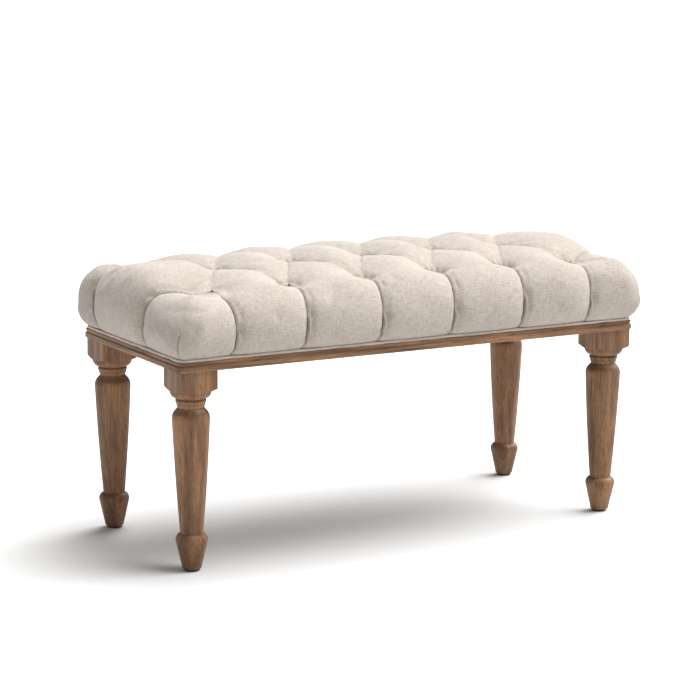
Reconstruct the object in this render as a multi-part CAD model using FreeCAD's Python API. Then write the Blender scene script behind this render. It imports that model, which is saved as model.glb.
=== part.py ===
import FreeCAD, Part
import math
import os

from FreeCAD import Vector

# Tufted bench. Millimetres, +Z up, length along X, front towards -Y.
# The origin is on the floor under the middle of the seat.

# Legs
leg_spacing_x = 820.0
leg_spacing_y = 312.0
leg_height = 336.0
leg_block = 66.0
leg_arris = 1.6
block_depth = 30.5
pommel_slope = 6.0
pommel_edge_radius = 34.0
ovolo_height = 11.0
ovolo_radius = 25.6
groove_width = 1.8
groove_depth = 1.6
ring_radius = 25.2
ring_height = 5.5
collar_height = 8.5
neck_radius = 22.0
fillet_height = 3.5
fillet_radius = 24.6
body_radius = 30.9
body_shoulder_height = 18.0
body_swell = 1.0
ankle_radius = 18.9
ankle_height = 63.5
foot_radius = 26.2
foot_widest_height = 50.5
toe_radius = 16.6
toe_height = 8.0
toe_round = 3.2
ring_round = 0.8

# Where the middle of each turned curve lies, as shares of its run and of its rise
shoulder_turn = (0.76, 0.36)
ankle_turn = (0.74, 0.32)
ovolo_turn = (0.27, 0.62)
toe_turn = (0.3, 0.3)

# Glides and their nails
glide_thickness = 3.0
glide_radius = 12.5
nail_radius = 1.3
nail_length = 18.0
nail_head_radius = 3.0
nail_head_thickness = 1.2
nail_sink = 0.6
nail_clearance = 0.05

# Oak surround
surround_thickness = 16.0
surround_width = 76.0
surround_overhang = 5.0
surround_corner = 12.0
cove_height = 7.0
cove_depth = 2.6
cove_lip = 1.2
bead_round = 3.2

# Dowels
dowel_radius = 4.0
dowel_in_leg = 20.0
dowel_in_surround = 10.0
dowel_offset = 18.0
dowel_end_gap = 0.8
mitre_dowel_radius = 3.0
mitre_dowel_length = 36.0
mitre_dowel_offsets = (20.0, 58.0)
dowel_clearance = 0.05

# Leg bolts and the nuts let into the deck
bolt_radius = 4.0
bolt_in_leg = 52.0
bolt_clearance = 0.5
bolt_thread_clearance = 0.05
nut_flange_radius = 11.0
nut_flange_thickness = 1.6
nut_barrel_radius = 5.2
nut_barrel_length = 9.0
nut_clearance = 0.1

# Plywood deck
deck_thickness = 15.0
deck_gap = 0.3
deck_corner_gap = 4.0
rail_width = 60.0
rail_gap = 0.2

# Screws that hold the surround and the rail to the deck
screw_radius = 2.0
screw_head_radius = 4.0
screw_head_height = 2.4
screw_length = 28.0
screw_edge_distance = 46.0
screw_end_spacing = 100.0
rail_screw_spacing = 140.0
screw_clearance = 0.05

# Cushion
cover_thickness = 1.2
hem_width = 20.0
cushion_height = 138.0
cushion_overhang = 19.0
bulge_height = 48.0
tuck_height = 6.5
shoulder_inset = 64.0
crest_drop = 8.0
base_corner = 12.0
bulge_corner = 52.0
crest_corner = 18.0
soft_gap = 0.3
least_foot = 0.5

# How the sides and the top of the cushion bend, as shares of the distance each bend spans
under_bend = 0.7
under_draw = 0.6
over_bend = 0.72
edge_bow = 0.11
middle_bow = 0.35
end_groove = 0.4

# Where the cushion is measured between its tufts, past the last tuft, at its foot and past it
pillow_stations = (0.25, 0.62)
crest_stations = (0.45, 1.0)
foot_stations = (1.0, 0.3, 0.0)
bulge_stations = (0.011, 0.45, 0.8, 0.978)

# Tufts, in three rows, the middle one half a pitch over
tuft_columns = 6
tuft_pitch = 142.0
tuft_row_spacing = 125.0
tuft_depth = 38.0
tuft_pad = 4.0
fold_depth = 17.0
pleat_depth = 9.0
pleat_width = 13.0
pleat_dip = 12.0
pleat_spread = 6.0
end_pleat_depth = 7.0
front_end_pleat_y = 74.0
back_end_pleat_y = 114.0
slit = 1.5
least_bow = 0.1

# Foam
foam_height = 68.0
foam_inset = 4.0
foam_round = 28.0
foam_rim_round = 16.8

# Tufting twine, knots and washers
twine_radius = 0.9
twine_clearance = 0.3
knot_radius = 2.2
knot_gap = 0.1
washer_radius = 7.0
washer_thickness = 1.5
washer_recess = 6.0
washer_clearance = 0.3

# Piping
piping_radius = 2.8
piping_inset = 5.0
piping_corner = 11.0
piping_cord_radius = 2.0
piping_cord_gap = 0.1

# Dust cover under the seat
dust_thickness = 0.8
dust_overlap = 16.0
dust_leg_gap = 3.0
staple_width = 10.0
staple_wire = 1.0
staple_depth = 6.0
staples_along = 9
staples_across = 4

# How far a cutter stands past the face it leaves through, and how level a flat face is
cutter_spare = 1.0
level_tolerance = 0.001

# Worked out from the sizes above
leg_x = leg_spacing_x / 2
leg_y = leg_spacing_y / 2
surround_half_x = leg_x + leg_block / 2 + surround_overhang
surround_half_y = leg_y + leg_block / 2 + surround_overhang
surround_bottom = leg_height
surround_top = surround_bottom + surround_thickness
opening_half_x = surround_half_x - surround_width
opening_half_y = surround_half_y - surround_width
deck_bottom = surround_top + cover_thickness
deck_top = deck_bottom + deck_thickness
piping_half_x = surround_half_x - piping_inset
piping_half_y = surround_half_y - piping_inset
piping_z = surround_top + piping_radius
base_half_x = piping_half_x - piping_radius - soft_gap
base_half_y = piping_half_y - piping_radius - soft_gap
deck_half_x = base_half_x - cover_thickness - deck_gap
deck_half_y = base_half_y - cover_thickness - deck_gap
deck_corner = base_corner + deck_corner_gap
bulge_reach = surround_half_y + cushion_overhang - base_half_y
crown_z = surround_top + cushion_height
crest_z = crown_z - crest_drop
pit_z = crown_z - tuft_depth
fold_z = crown_z - fold_depth
bulge_z = surround_top + bulge_height
tuck_z = surround_top + tuck_height
end_tuft_x = tuft_pitch * (tuft_columns - 1) / 2
end_crest_x = base_half_x + bulge_reach - shoulder_inset
column_xs = [tuft_pitch * i - end_tuft_x for i in range(tuft_columns)]
middle_xs = [tuft_pitch * (i + 0.5) - end_tuft_x for i in range(tuft_columns - 1)]
tuft_places = [(x, -tuft_row_spacing) for x in column_xs]
tuft_places += [(x, 0.0) for x in middle_xs]
tuft_places += [(x, tuft_row_spacing) for x in column_xs]
corners = {"front_left": (-1, -1), "front_right": (1, -1), "back_left": (-1, 1), "back_right": (1, 1)}

UP = Vector(0, 0, 1)


def save(name, shape):
    shape.exportStep(os.path.join("parts", name + ".step"))
    print(name, len(shape.Solids), round(shape.Volume, 1), shape.isValid())


def group(shapes):
    return Part.makeCompound([solid for shape in shapes for solid in shape.Solids])


def post(radius, x, y, z_low, z_high):
    return Part.makeCylinder(radius, z_high - z_low, Vector(x, y, z_low), UP)


def slab(half_x, half_y, z_low, z_high):
    return Part.makeBox(2 * half_x, 2 * half_y, z_high - z_low, Vector(-half_x, -half_y, z_low))


def arc(start, middle, end):
    return Part.Arc(start, middle, end).toShape()


def rounded_rectangle(half_x, half_y, radius, z):
    """Closed outline with quarter-round corners, starting on the middle of the front side."""
    edges = []
    x, y = half_x - radius, half_y - radius
    diagonal = radius * math.sqrt(0.5)
    start = Vector(0, -half_y, z)
    quarters = [(1, -1), (1, 1), (-1, 1), (-1, -1)]
    for sx, sy in quarters:
        side = Vector(sx * half_x, sy * y, z)
        flat = Vector(sx * x, sy * half_y, z)
        first, last = (flat, side) if sx * sy < 0 else (side, flat)
        middle = Vector(sx * (x + diagonal), sy * (y + diagonal), z)
        edges.append(Part.makeLine(start, first))
        edges.append(arc(first, middle, last))
        start = last
    edges.append(Part.makeLine(start, Vector(0, -half_y, z)))
    return Part.Wire(edges)


def rounded_slab(half_x, half_y, radius, z_low, z_high):
    face = Part.Face(rounded_rectangle(half_x, half_y, radius, z_low))
    return face.extrude(Vector(0, 0, z_high - z_low))


# Legs
def leg_profile():
    """Half outline of the turning, from the toe up to the top of the block, closed on the axis."""
    top = leg_height
    corner_reach = leg_block
    pommel_z = top - block_depth
    edge_z = pommel_z - pommel_slope
    ovolo_z = edge_z - ovolo_height
    ring_top = ovolo_z - groove_width
    ring_z = ring_top - ring_height / 2
    ring_low = ring_top - ring_height
    neck_z = ring_low - collar_height
    fillet_z = neck_z - fillet_height
    body_z = fillet_z - body_shoulder_height

    def at(radius, z):
        return Vector(radius, 0, z)

    slope_run = leg_block / math.sqrt(2) - pommel_edge_radius
    outer_z = edge_z + pommel_slope * (corner_reach - pommel_edge_radius) / slope_run
    groove = ring_radius - groove_depth
    body_middle = at((body_radius + ankle_radius) / 2 + body_swell, (body_z + ankle_height) / 2)
    shoulder_run = body_radius - fillet_radius
    across, down = shoulder_turn
    shoulder_middle = at(fillet_radius + across * shoulder_run, fillet_z - down * body_shoulder_height)
    foot_run = foot_radius - ankle_radius
    foot_rise = ankle_height - foot_widest_height
    across, down = ankle_turn
    foot_middle = at(ankle_radius + across * foot_run, ankle_height - down * foot_rise)
    ovolo_run = pommel_edge_radius - ovolo_radius
    across, down = ovolo_turn
    ovolo_middle = at(pommel_edge_radius - across * ovolo_run, edge_z - down * ovolo_height)
    toe_low = at(toe_radius - toe_round, glide_thickness)
    toe_high = at(toe_radius, toe_height)
    toe_rise = toe_height - glide_thickness
    across, up = toe_turn
    toe_middle = at(toe_radius - across * toe_round, glide_thickness + up * toe_rise)
    ring_edge = ring_radius - ring_round
    edges = [
        Part.makeLine(at(0, glide_thickness), toe_low),
        arc(toe_low, toe_middle, toe_high),
        Part.makeLine(toe_high, at(foot_radius, foot_widest_height)),
        arc(at(foot_radius, foot_widest_height), foot_middle, at(ankle_radius, ankle_height)),
        arc(at(ankle_radius, ankle_height), body_middle, at(body_radius, body_z)),
        arc(at(body_radius, body_z), shoulder_middle, at(fillet_radius, fillet_z)),
        Part.makeLine(at(fillet_radius, fillet_z), at(neck_radius, neck_z)),
        Part.makeLine(at(neck_radius, neck_z), at(ring_edge, ring_low)),
        arc(at(ring_edge, ring_low), at(ring_radius, ring_z), at(ring_edge, ring_top)),
        Part.makeLine(at(ring_edge, ring_top), at(groove, ring_top)),
        Part.makeLine(at(groove, ring_top), at(groove, ovolo_z)),
        Part.makeLine(at(groove, ovolo_z), at(ovolo_radius, ovolo_z)),
        arc(at(ovolo_radius, ovolo_z), ovolo_middle, at(pommel_edge_radius, edge_z)),
        Part.makeLine(at(pommel_edge_radius, edge_z), at(corner_reach, outer_z)),
        Part.makeLine(at(corner_reach, outer_z), at(corner_reach, top)),
        Part.makeLine(at(corner_reach, top), at(0, top)),
        Part.makeLine(at(0, top), at(0, glide_thickness)),
    ]
    return Part.Face(Part.Wire(edges))


def make_leg():
    """Square blank turned below its block, bored for its bolt, dowel and glide nail."""
    turned = leg_profile().revolve(Vector(0, 0, 0), UP, 360)
    blank = slab(leg_block / 2, leg_block / 2, glide_thickness, leg_height)
    arrises = [edge for edge in blank.Edges if edge.BoundBox.ZLength > leg_height / 2]
    blank = blank.makeFillet(leg_arris, arrises)
    leg = turned.common(blank)
    bore_low = leg_height - bolt_in_leg - dowel_end_gap
    bolt_bore = post(bolt_radius + bolt_thread_clearance, 0, 0, bore_low, leg_height)
    nail_top = nail_length + nail_head_thickness
    nail_bore = post(nail_radius + nail_clearance, 0, 0, glide_thickness, nail_top)
    return leg.cut(bolt_bore).cut(nail_bore)


def place_leg(leg, sx, sy):
    moved = leg.copy()
    moved.translate(Vector(sx * leg_x, sy * leg_y, 0))
    bore_low = leg_height - dowel_in_leg - dowel_end_gap
    dowel_x = sx * (leg_x - dowel_offset)
    bore = post(dowel_radius + dowel_clearance, dowel_x, sy * leg_y, bore_low, leg_height)
    return moved.cut(bore)


def make_glide(sx, sy):
    x, y = sx * leg_x, sy * leg_y
    disc = post(glide_radius, x, y, 0, glide_thickness)
    hole = post(nail_radius + nail_clearance, x, y, 0, glide_thickness)
    recess = post(nail_head_radius + nail_clearance, x, y, 0, nail_sink + nail_head_thickness)
    return disc.cut(hole).cut(recess)


def make_glide_nail(sx, sy):
    x, y = sx * leg_x, sy * leg_y
    head = post(nail_head_radius, x, y, nail_sink, nail_sink + nail_head_thickness)
    shank = post(nail_radius, x, y, nail_sink, nail_sink + nail_length)
    return head.fuse(shank)


# Bolts, nuts and dowels
def make_hanger_bolt(sx, sy):
    low = leg_height - bolt_in_leg
    return post(bolt_radius, sx * leg_x, sy * leg_y, low, deck_top - nut_flange_thickness)


def nut_outline(sx, sy, grow):
    x, y = sx * leg_x, sy * leg_y
    flange = post(nut_flange_radius + grow, x, y, deck_top - nut_flange_thickness - grow, deck_top)
    barrel = post(nut_barrel_radius + grow, x, y, deck_top - nut_barrel_length - grow, deck_top)
    return flange.fuse(barrel)


def make_tee_nut(sx, sy):
    bore = post(bolt_radius + bolt_thread_clearance, sx * leg_x, sy * leg_y, surround_top, deck_top)
    return nut_outline(sx, sy, 0).cut(bore)


def make_leg_dowel(sx, sy):
    x = sx * (leg_x - dowel_offset)
    return post(dowel_radius, x, sy * leg_y, leg_height - dowel_in_leg, surround_bottom + dowel_in_surround)


def make_mitre_dowel(sx, sy, offset, grow):
    """Dowel square across a mitre, at a distance from the outer corner along both sides."""
    middle = Vector(sx * (surround_half_x - offset), sy * (surround_half_y - offset), 0)
    middle.z = surround_bottom + surround_thickness / 2
    along = Vector(sx, -sy, 0).normalize()
    length = mitre_dowel_length + 2 * grow
    return Part.makeCylinder(mitre_dowel_radius + grow, length, middle - along * (length / 2), along)


# Surround
def surround_cutter():
    """What the moulding cutter takes off all round: a cove above, a round below."""
    y = -surround_half_y
    out = y - 2 * cove_depth
    top = surround_top
    cove_low = top - cove_height
    bottom = surround_bottom
    above = top + cutter_spare
    below = bottom - cutter_spare

    def at(depth, z):
        return Vector(0, depth, z)

    lip_z = top - cove_lip
    cove_middle = at(y + cove_depth, (lip_z + cove_low) / 2)
    round_start = at(y, bottom + bead_round)
    round_end = at(y + bead_round, bottom)
    share = bead_round * (1 - math.sqrt(0.5))
    round_middle = at(y + share, bottom + share)
    cove = Part.Wire([
        Part.makeLine(at(out, above), at(y + cove_lip, above)),
        Part.makeLine(at(y + cove_lip, above), at(y + cove_lip, lip_z)),
        arc(at(y + cove_lip, lip_z), cove_middle, at(y + cove_lip, cove_low)),
        Part.makeLine(at(y + cove_lip, cove_low), at(out, cove_low)),
        Part.makeLine(at(out, cove_low), at(out, above)),
    ])
    under = Part.Wire([
        Part.makeLine(at(out, bottom + bead_round), round_start),
        arc(round_start, round_middle, round_end),
        Part.makeLine(round_end, at(y + bead_round, below)),
        Part.makeLine(at(y + bead_round, below), at(out, below)),
        Part.makeLine(at(out, below), at(out, bottom + bead_round)),
    ])
    path = rounded_rectangle(surround_half_x, surround_half_y, surround_corner, top)
    return [path.makePipeShell([profile], True, False) for profile in (cove, under)]


def mitre_wedge(side):
    """Block that covers one side of the surround as far as its two mitres."""
    low, high = surround_bottom - cutter_spare, surround_top + cutter_spare
    reach = surround_width + opening_half_y / 2
    along, across = surround_half_x, surround_half_y
    inner = along - reach
    outline = {
        "front": [(-along, -across), (along, -across), (inner, -across + reach), (-inner, -across + reach)],
        "back": [(along, across), (-along, across), (-inner, across - reach), (inner, across - reach)],
        "left": [(-along, across), (-along, -across), (-inner, -across + reach), (-inner, across - reach)],
        "right": [(along, -across), (along, across), (inner, across - reach), (inner, -across + reach)],
    }[side]
    points = [Vector(x, y, low) for x, y in outline]
    return Part.Face(Part.makePolygon(points + points[:1])).extrude(Vector(0, 0, high - low))


def make_surround():
    ring = rounded_slab(surround_half_x, surround_half_y, surround_corner, surround_bottom, surround_top)
    low, high = surround_bottom - cutter_spare, surround_top + cutter_spare
    ring = ring.cut(slab(opening_half_x, opening_half_y, low, high))
    for cutter in surround_cutter():
        ring = ring.cut(cutter)
    tools = []
    bolt_bore = bolt_radius + bolt_clearance
    dowel_bore = dowel_radius + dowel_clearance
    dowel_top = surround_bottom + dowel_in_surround + dowel_end_gap
    for sx, sy in corners.values():
        tools.append(post(bolt_bore, sx * leg_x, sy * leg_y, surround_bottom, surround_top))
        dowel_x = sx * (leg_x - dowel_offset)
        tools.append(post(dowel_bore, dowel_x, sy * leg_y, surround_bottom, dowel_top))
        for offset in mitre_dowel_offsets:
            tools.append(make_mitre_dowel(sx, sy, offset, dowel_clearance))
    for x, y in screw_places():
        tools.append(make_screw(x, y, screw_clearance))
    for x, y, turned in staple_places():
        tools.append(make_staple(x, y, turned))
    ring = ring.cut(tools)
    return {side: ring.common(mitre_wedge(side)) for side in ("front", "back", "left", "right")}


# Screws
def screw_places():
    places = [(x, sy * (surround_half_y - screw_edge_distance)) for sy in (-1, 1) for x in middle_xs]
    end_x = surround_half_x - screw_edge_distance
    places += [(sx * end_x, sy * screw_end_spacing / 2) for sx in (-1, 1) for sy in (-1, 1)]
    return places


def rail_screw_places():
    return [(0, -rail_screw_spacing / 2), (0, rail_screw_spacing / 2)]


def make_screw(x, y, grow):
    """Countersunk wood screw driven up from the underside."""
    low = surround_bottom
    wide, narrow = screw_head_radius + grow, screw_radius + grow
    head = Part.makeCone(wide, narrow, screw_head_height, Vector(x, y, low), UP)
    return head.fuse(post(narrow, x, y, low, low + screw_length + grow))


# Deck and rail
def make_deck():
    deck = rounded_slab(deck_half_x, deck_half_y, deck_corner, deck_bottom, deck_top)
    tools = []
    for sx, sy in corners.values():
        tools.append(nut_outline(sx, sy, nut_clearance))
        tools.append(post(bolt_radius + bolt_clearance, sx * leg_x, sy * leg_y, deck_bottom, deck_top))
    for x, y in screw_places() + rail_screw_places():
        tools.append(make_screw(x, y, screw_clearance))
    for x, y in tuft_places:
        tools.append(post(twine_radius + twine_clearance, x, y, deck_bottom, deck_top))
        recess = washer_radius + washer_clearance
        tools.append(post(recess, x, y, deck_bottom, deck_bottom + washer_recess))
    return deck.cut(tools)


def make_rail():
    rail = slab(rail_width / 2, opening_half_y - rail_gap, surround_bottom, deck_bottom)
    return rail.cut([make_screw(x, y, screw_clearance) for x, y in rail_screw_places()])


# Cushion
class Layer:
    """One skin of the cushion: the outside of the cover, or a skin that lies a depth inside it."""

    def __init__(self, depth, base):
        self.depth = depth
        self.base = base
        self.half_x = base_half_x - depth
        self.half_y = base_half_y - depth
        self.crest = crest_z - depth
        self.end_crest = end_crest_x - depth

    def reach(self, z):
        """How far the side stands out from its foot at a height: quarter ellipses below and above."""
        if z <= bulge_z:
            k = min(1.0, (bulge_z - z) / (bulge_z - tuck_z))
            return bulge_reach * math.sqrt(1 - k * k)
        k = min(1.0, (z - bulge_z) / (self.crest - bulge_z))
        return bulge_reach - shoulder_inset * (1 - math.sqrt(1 - k * k))

    def corner(self, z):
        if z <= bulge_z:
            return base_corner + (bulge_corner - base_corner) * self.reach(z) / bulge_reach
        k = (bulge_reach - self.reach(z)) / shoulder_inset
        return bulge_corner + (crest_corner - bulge_corner) * k

    def half_width(self, x, z):
        """Half the depth of the cushion at a distance from the middle and a height."""
        radius = self.corner(z)
        past = max(0.0, abs(x) - (self.half_x + self.reach(z) - radius))
        return self.half_y + self.reach(z) - radius + math.sqrt(max(0.0, radius ** 2 - past ** 2))

    def shoulder_top(self, x):
        """Height of the end's shoulder at a distance from the middle."""
        k = min(1.0, max(0.0, (abs(x) - self.end_crest) / shoulder_inset))
        return bulge_z + (self.crest - bulge_z) * math.sqrt(1 - k * k)

    def bottom(self, x):
        """Height of the underside: flat as far as the foot, then up under the bulge of the end."""
        k = (abs(x) - self.half_x) / bulge_reach
        if k <= 0:
            return self.base
        return bulge_z - (bulge_z - tuck_z) * math.sqrt(1 - min(1.0, k) ** 2)


def pleat_share(gap):
    """1 in a pleat, falling to 0 away from it."""
    return math.exp(-(gap / pleat_width) ** 2)


def fold_place(x):
    """Front and back fold lines at a distance from the middle: their places and heights."""
    reach = abs(x)
    if reach <= end_tuft_x + tuft_pad:
        gap = min(abs(x - column) for column in column_xs)
        run = tuft_pitch / 2 - 2 * tuft_pad
        t = min(1.0, max(0.0, (gap - tuft_pad) / run))
        y = tuft_row_spacing + (tuft_pad + slit - tuft_row_spacing) * t
        z = pit_z + (fold_z - pit_z) * math.sqrt(math.sin(math.pi * t))
        return y, y, z
    t = min(1.0, (reach - end_tuft_x - tuft_pad) / (end_crest_x - end_tuft_x - tuft_pad))
    run = (reach - end_tuft_x - tuft_pad) / (base_half_x + bulge_reach - end_tuft_x - tuft_pad)
    front = tuft_row_spacing + (front_end_pleat_y - tuft_row_spacing) * run
    back = tuft_row_spacing + (back_end_pleat_y - tuft_row_spacing) * run
    return front, back, pit_z + (fold_z - pit_z) * math.sqrt(math.sin(math.pi * t / 2))


def bowed(start, end, bow):
    """Arc from start to end that stands up by bow in its middle."""
    middle = (start + end) * 0.5 + Vector(0, 0, bow)
    return arc(start, middle, end)


def side_edges(layer, x, side, top_y, top_z, draw):
    """Foot, tuck, under-bulge and shoulder of one side, from the foot up to the crest."""
    low = layer.bottom(x)
    tuck = max(tuck_z, low + least_foot)

    def at(z, y):
        return Vector(x, side * y, z)

    def skin(z, share):
        return at(z, layer.half_width(x, z) - draw * share)

    foot = at(low, layer.half_width(x, low))
    under_z = bulge_z - (bulge_z - tuck) * under_bend
    over_z = bulge_z + (top_z - bulge_z) * over_bend
    start, widest, crest = skin(tuck, 0), skin(bulge_z, 1), at(top_z, top_y)
    return [
        Part.makeLine(foot, start),
        arc(start, skin(under_z, under_draw), widest),
        arc(widest, skin(over_z, 1), crest),
    ]


def section(layer, x):
    """Closed outline of the cushion at one place along its length."""
    front_y, back_y, fold_height = fold_place(x)
    gap = max(0.0, min(abs(x - column) for column in column_xs) - tuft_pad)
    share = pleat_share(gap) if abs(x) < end_crest_x else 0.0
    past_crest = abs(x) > layer.end_crest
    top = layer.shoulder_top(x)
    crest = top - pleat_dip * share
    fold = fold_height - layer.depth
    middle = crown_z - layer.depth
    if past_crest:
        groove = min(abs(x) + end_pleat_depth, layer.half_x + bulge_reach)
        fold = max(layer.shoulder_top(groove), bulge_z + (top - bulge_z) * end_groove)
        middle = top
    elif abs(x) > end_tuft_x:
        t = (abs(x) - end_tuft_x) / (layer.end_crest - end_tuft_x)
        middle = crown_z - layer.depth + (layer.crest - crown_z + layer.depth) * t * t
    crest_y = layer.half_width(x, top) + pleat_spread * share

    def at(y, z):
        return Vector(x, y, z)

    front = side_edges(layer, x, -1, crest_y, crest, pleat_depth * share)
    back = side_edges(layer, x, 1, crest_y, crest, pleat_depth * share)
    pad = tuft_pad
    front_crest, back_crest = at(-crest_y, crest), at(crest_y, crest)
    pad_ys = [-front_y - pad, -front_y + pad, back_y - pad, back_y + pad]
    pads = [at(y, fold) for y in pad_ys]
    bow_front = edge_bow * (crest_y - front_y)
    bow_back = edge_bow * (crest_y - back_y)
    bow = max(least_bow, middle - fold)
    if front_y < tuft_pad + 2 * slit:
        bow = least_bow
    elif not past_crest:
        bow = min(bow, middle_bow * (front_y + back_y))
    edges = front
    edges.append(bowed(front_crest, pads[0], bow_front))
    edges.append(Part.makeLine(pads[0], pads[1]))
    edges.append(bowed(pads[1], pads[2], bow))
    edges.append(Part.makeLine(pads[2], pads[3]))
    edges.append(bowed(pads[3], back_crest, bow_back))
    for edge in reversed(back):
        edges.append(edge)
    low = layer.bottom(x)
    foot = layer.half_width(x, low)
    edges.append(Part.makeLine(at(foot, low), at(-foot, low)))
    return Part.Wire(Part.sortEdges(edges)[0])


def stations(layer):
    """Places along the length: the edges of every tuft, the pillows between, and the rounded ends."""
    places = []
    for column in column_xs + middle_xs:
        places += [column - tuft_pad, column + tuft_pad]
    run = tuft_pitch / 2 - 2 * tuft_pad
    for column in middle_xs:
        for share in pillow_stations:
            gap = tuft_pitch / 2 - tuft_pad - share * run
            places += [column - gap, column + gap]
    half = layer.half_x
    tuft = end_tuft_x + tuft_pad
    ends = [tuft + (layer.end_crest - tuft) * share for share in crest_stations]
    ends += [half - base_corner * share for share in foot_stations]
    ends += [half + bulge_reach * share for share in bulge_stations]
    places += ends + [-place for place in ends]
    return sorted(places)


def make_skin(layer):
    return Part.makeLoft([section(layer, x) for x in stations(layer)], True, True)


def on_level(face, z):
    box = face.BoundBox
    return abs(box.ZMin - z) < level_tolerance and abs(box.ZMax - z) < level_tolerance


def base_outline(layer):
    """Closed outline of the flat underside of one skin."""
    flat = [x for x in stations(layer) if layer.bottom(x) == layer.base]
    front = [Vector(x, -layer.half_width(x, layer.base), layer.base) for x in flat]
    back = [Vector(x, layer.half_width(x, layer.base), layer.base) for x in reversed(flat)]
    return Part.makePolygon(front + back + front[:1])


def hem_outline(z):
    x = base_half_x - hem_width
    y = base_half_y - hem_width
    return rounded_rectangle(x, y, base_corner, z)


def make_cover():
    """Linen cover: outer and inner skins joined under the deck by a turned-in hem."""
    outer = Layer(0, surround_top)
    inner = Layer(cover_thickness, deck_bottom)
    faces = [face for face in make_skin(outer).Faces if not on_level(face, outer.base)]
    faces += [face for face in make_skin(inner).Faces if not on_level(face, inner.base)]
    low_hem, high_hem = hem_outline(outer.base), hem_outline(inner.base)
    faces += Part.Face(base_outline(outer)).cut(Part.Face(low_hem)).Faces
    faces += Part.Face(base_outline(inner)).cut(Part.Face(high_hem)).Faces
    faces += low_hem.extrude(Vector(0, 0, inner.base - outer.base)).Faces
    shell = Part.Shell(faces)
    shell.sewShape()
    cover = Part.Solid(shell)
    if cover.Volume < 0:
        cover.reverse()
    return cover.cut(twine_holes(pit_z - 2 * cover_thickness, pit_z + cutter_spare))


def foam_block(grow):
    half_x, half_y = deck_half_x - foam_inset + grow, deck_half_y - foam_inset + grow
    block = rounded_slab(half_x, half_y, foam_round + grow, deck_top, deck_top + foam_height + grow)
    rim = [edge for edge in block.Edges if edge.BoundBox.ZMin > deck_top + foam_height / 2]
    return block.makeFillet(foam_rim_round + grow, rim)


def twine_holes(z_low, z_high):
    return [post(twine_radius + twine_clearance, x, y, z_low, z_high) for x, y in tuft_places]


def make_foam():
    return foam_block(0).cut(twine_holes(deck_top, crown_z))


def make_wadding():
    """Fibre between foam and cover, thick in every pillow and thin under every tuft."""
    filling = make_skin(Layer(cover_thickness + soft_gap, deck_bottom))
    below = slab(2 * base_half_x, 2 * base_half_y, surround_bottom, deck_top)
    return filling.cut(below).cut(foam_block(soft_gap)).cut(twine_holes(deck_top, crown_z))


def make_twine(x, y):
    """Twine with a knot in the tuft and one under its washer."""
    upper = pit_z + knot_radius + knot_gap
    lower = deck_bottom + washer_recess - washer_thickness - knot_radius - knot_gap
    cord = post(twine_radius, x, y, lower, upper)
    knots = [Part.makeSphere(knot_radius, Vector(x, y, z)) for z in (lower, upper)]
    return cord.fuse(knots)


def make_washer(x, y):
    top = deck_bottom + washer_recess
    disc = post(washer_radius, x, y, top - washer_thickness, top)
    return disc.cut(post(twine_radius + twine_clearance, x, y, deck_bottom, top))


# Piping
def ring_tube(radius, z):
    path = rounded_rectangle(piping_half_x, piping_half_y, piping_corner, z)
    circle = Part.Wire(Part.makeCircle(radius, Vector(0, -piping_half_y, z), Vector(1, 0, 0)))
    return path.makePipeShell([circle], True, False)


def make_piping():
    return ring_tube(piping_radius, piping_z).cut(ring_tube(piping_cord_radius + piping_cord_gap, piping_z))


# Dust cover
def make_dust_cover():
    low, high = surround_bottom - dust_thickness, surround_bottom
    cloth = slab(opening_half_x + dust_overlap, opening_half_y + dust_overlap, low, high)
    reach = leg_block + 2 * dust_leg_gap
    tools = []
    for sx, sy in corners.values():
        corner = Vector(sx * leg_x - reach / 2, sy * leg_y - reach / 2, low)
        tools.append(Part.makeBox(reach, reach, dust_thickness, corner))
    tools += [make_staple(x, y, turned) for x, y, turned in staple_places()]
    return cloth.cut(tools)


def staple_places():
    """Middles of the staples along the four edges of the dust cover, and whether each is turned."""
    x_line, y_line = opening_half_x + dust_overlap / 2, opening_half_y + dust_overlap / 2
    x_run = 2 * (leg_x - leg_block)
    y_run = 2 * (leg_y - leg_block)
    places = []
    for sign in (-1, 1):
        for i in range(staples_along):
            places.append((x_run * (i / (staples_along - 1) - 0.5), sign * y_line, False))
        for i in range(staples_across):
            places.append((sign * x_line, y_run * (i / (staples_across - 1) - 0.5), True))
    return places


def make_staple(x, y, turned):
    """Staple driven up from below, its crown flat against the dust cover."""
    half, wire = staple_width / 2, staple_wire
    low = surround_bottom - dust_thickness - wire
    high = surround_bottom + staple_depth
    crown = Part.makeBox(2 * half, wire, wire, Vector(-half, -wire / 2, low))
    pins = [Part.makeBox(wire, wire, high - low, Vector(px, -wire / 2, low)) for px in (-half, half - wire)]
    staple = crown.fuse(pins).removeSplitter()
    if turned:
        staple.rotate(Vector(0, 0, 0), UP, 90)
    staple.translate(Vector(x, y, 0))
    return staple


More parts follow.
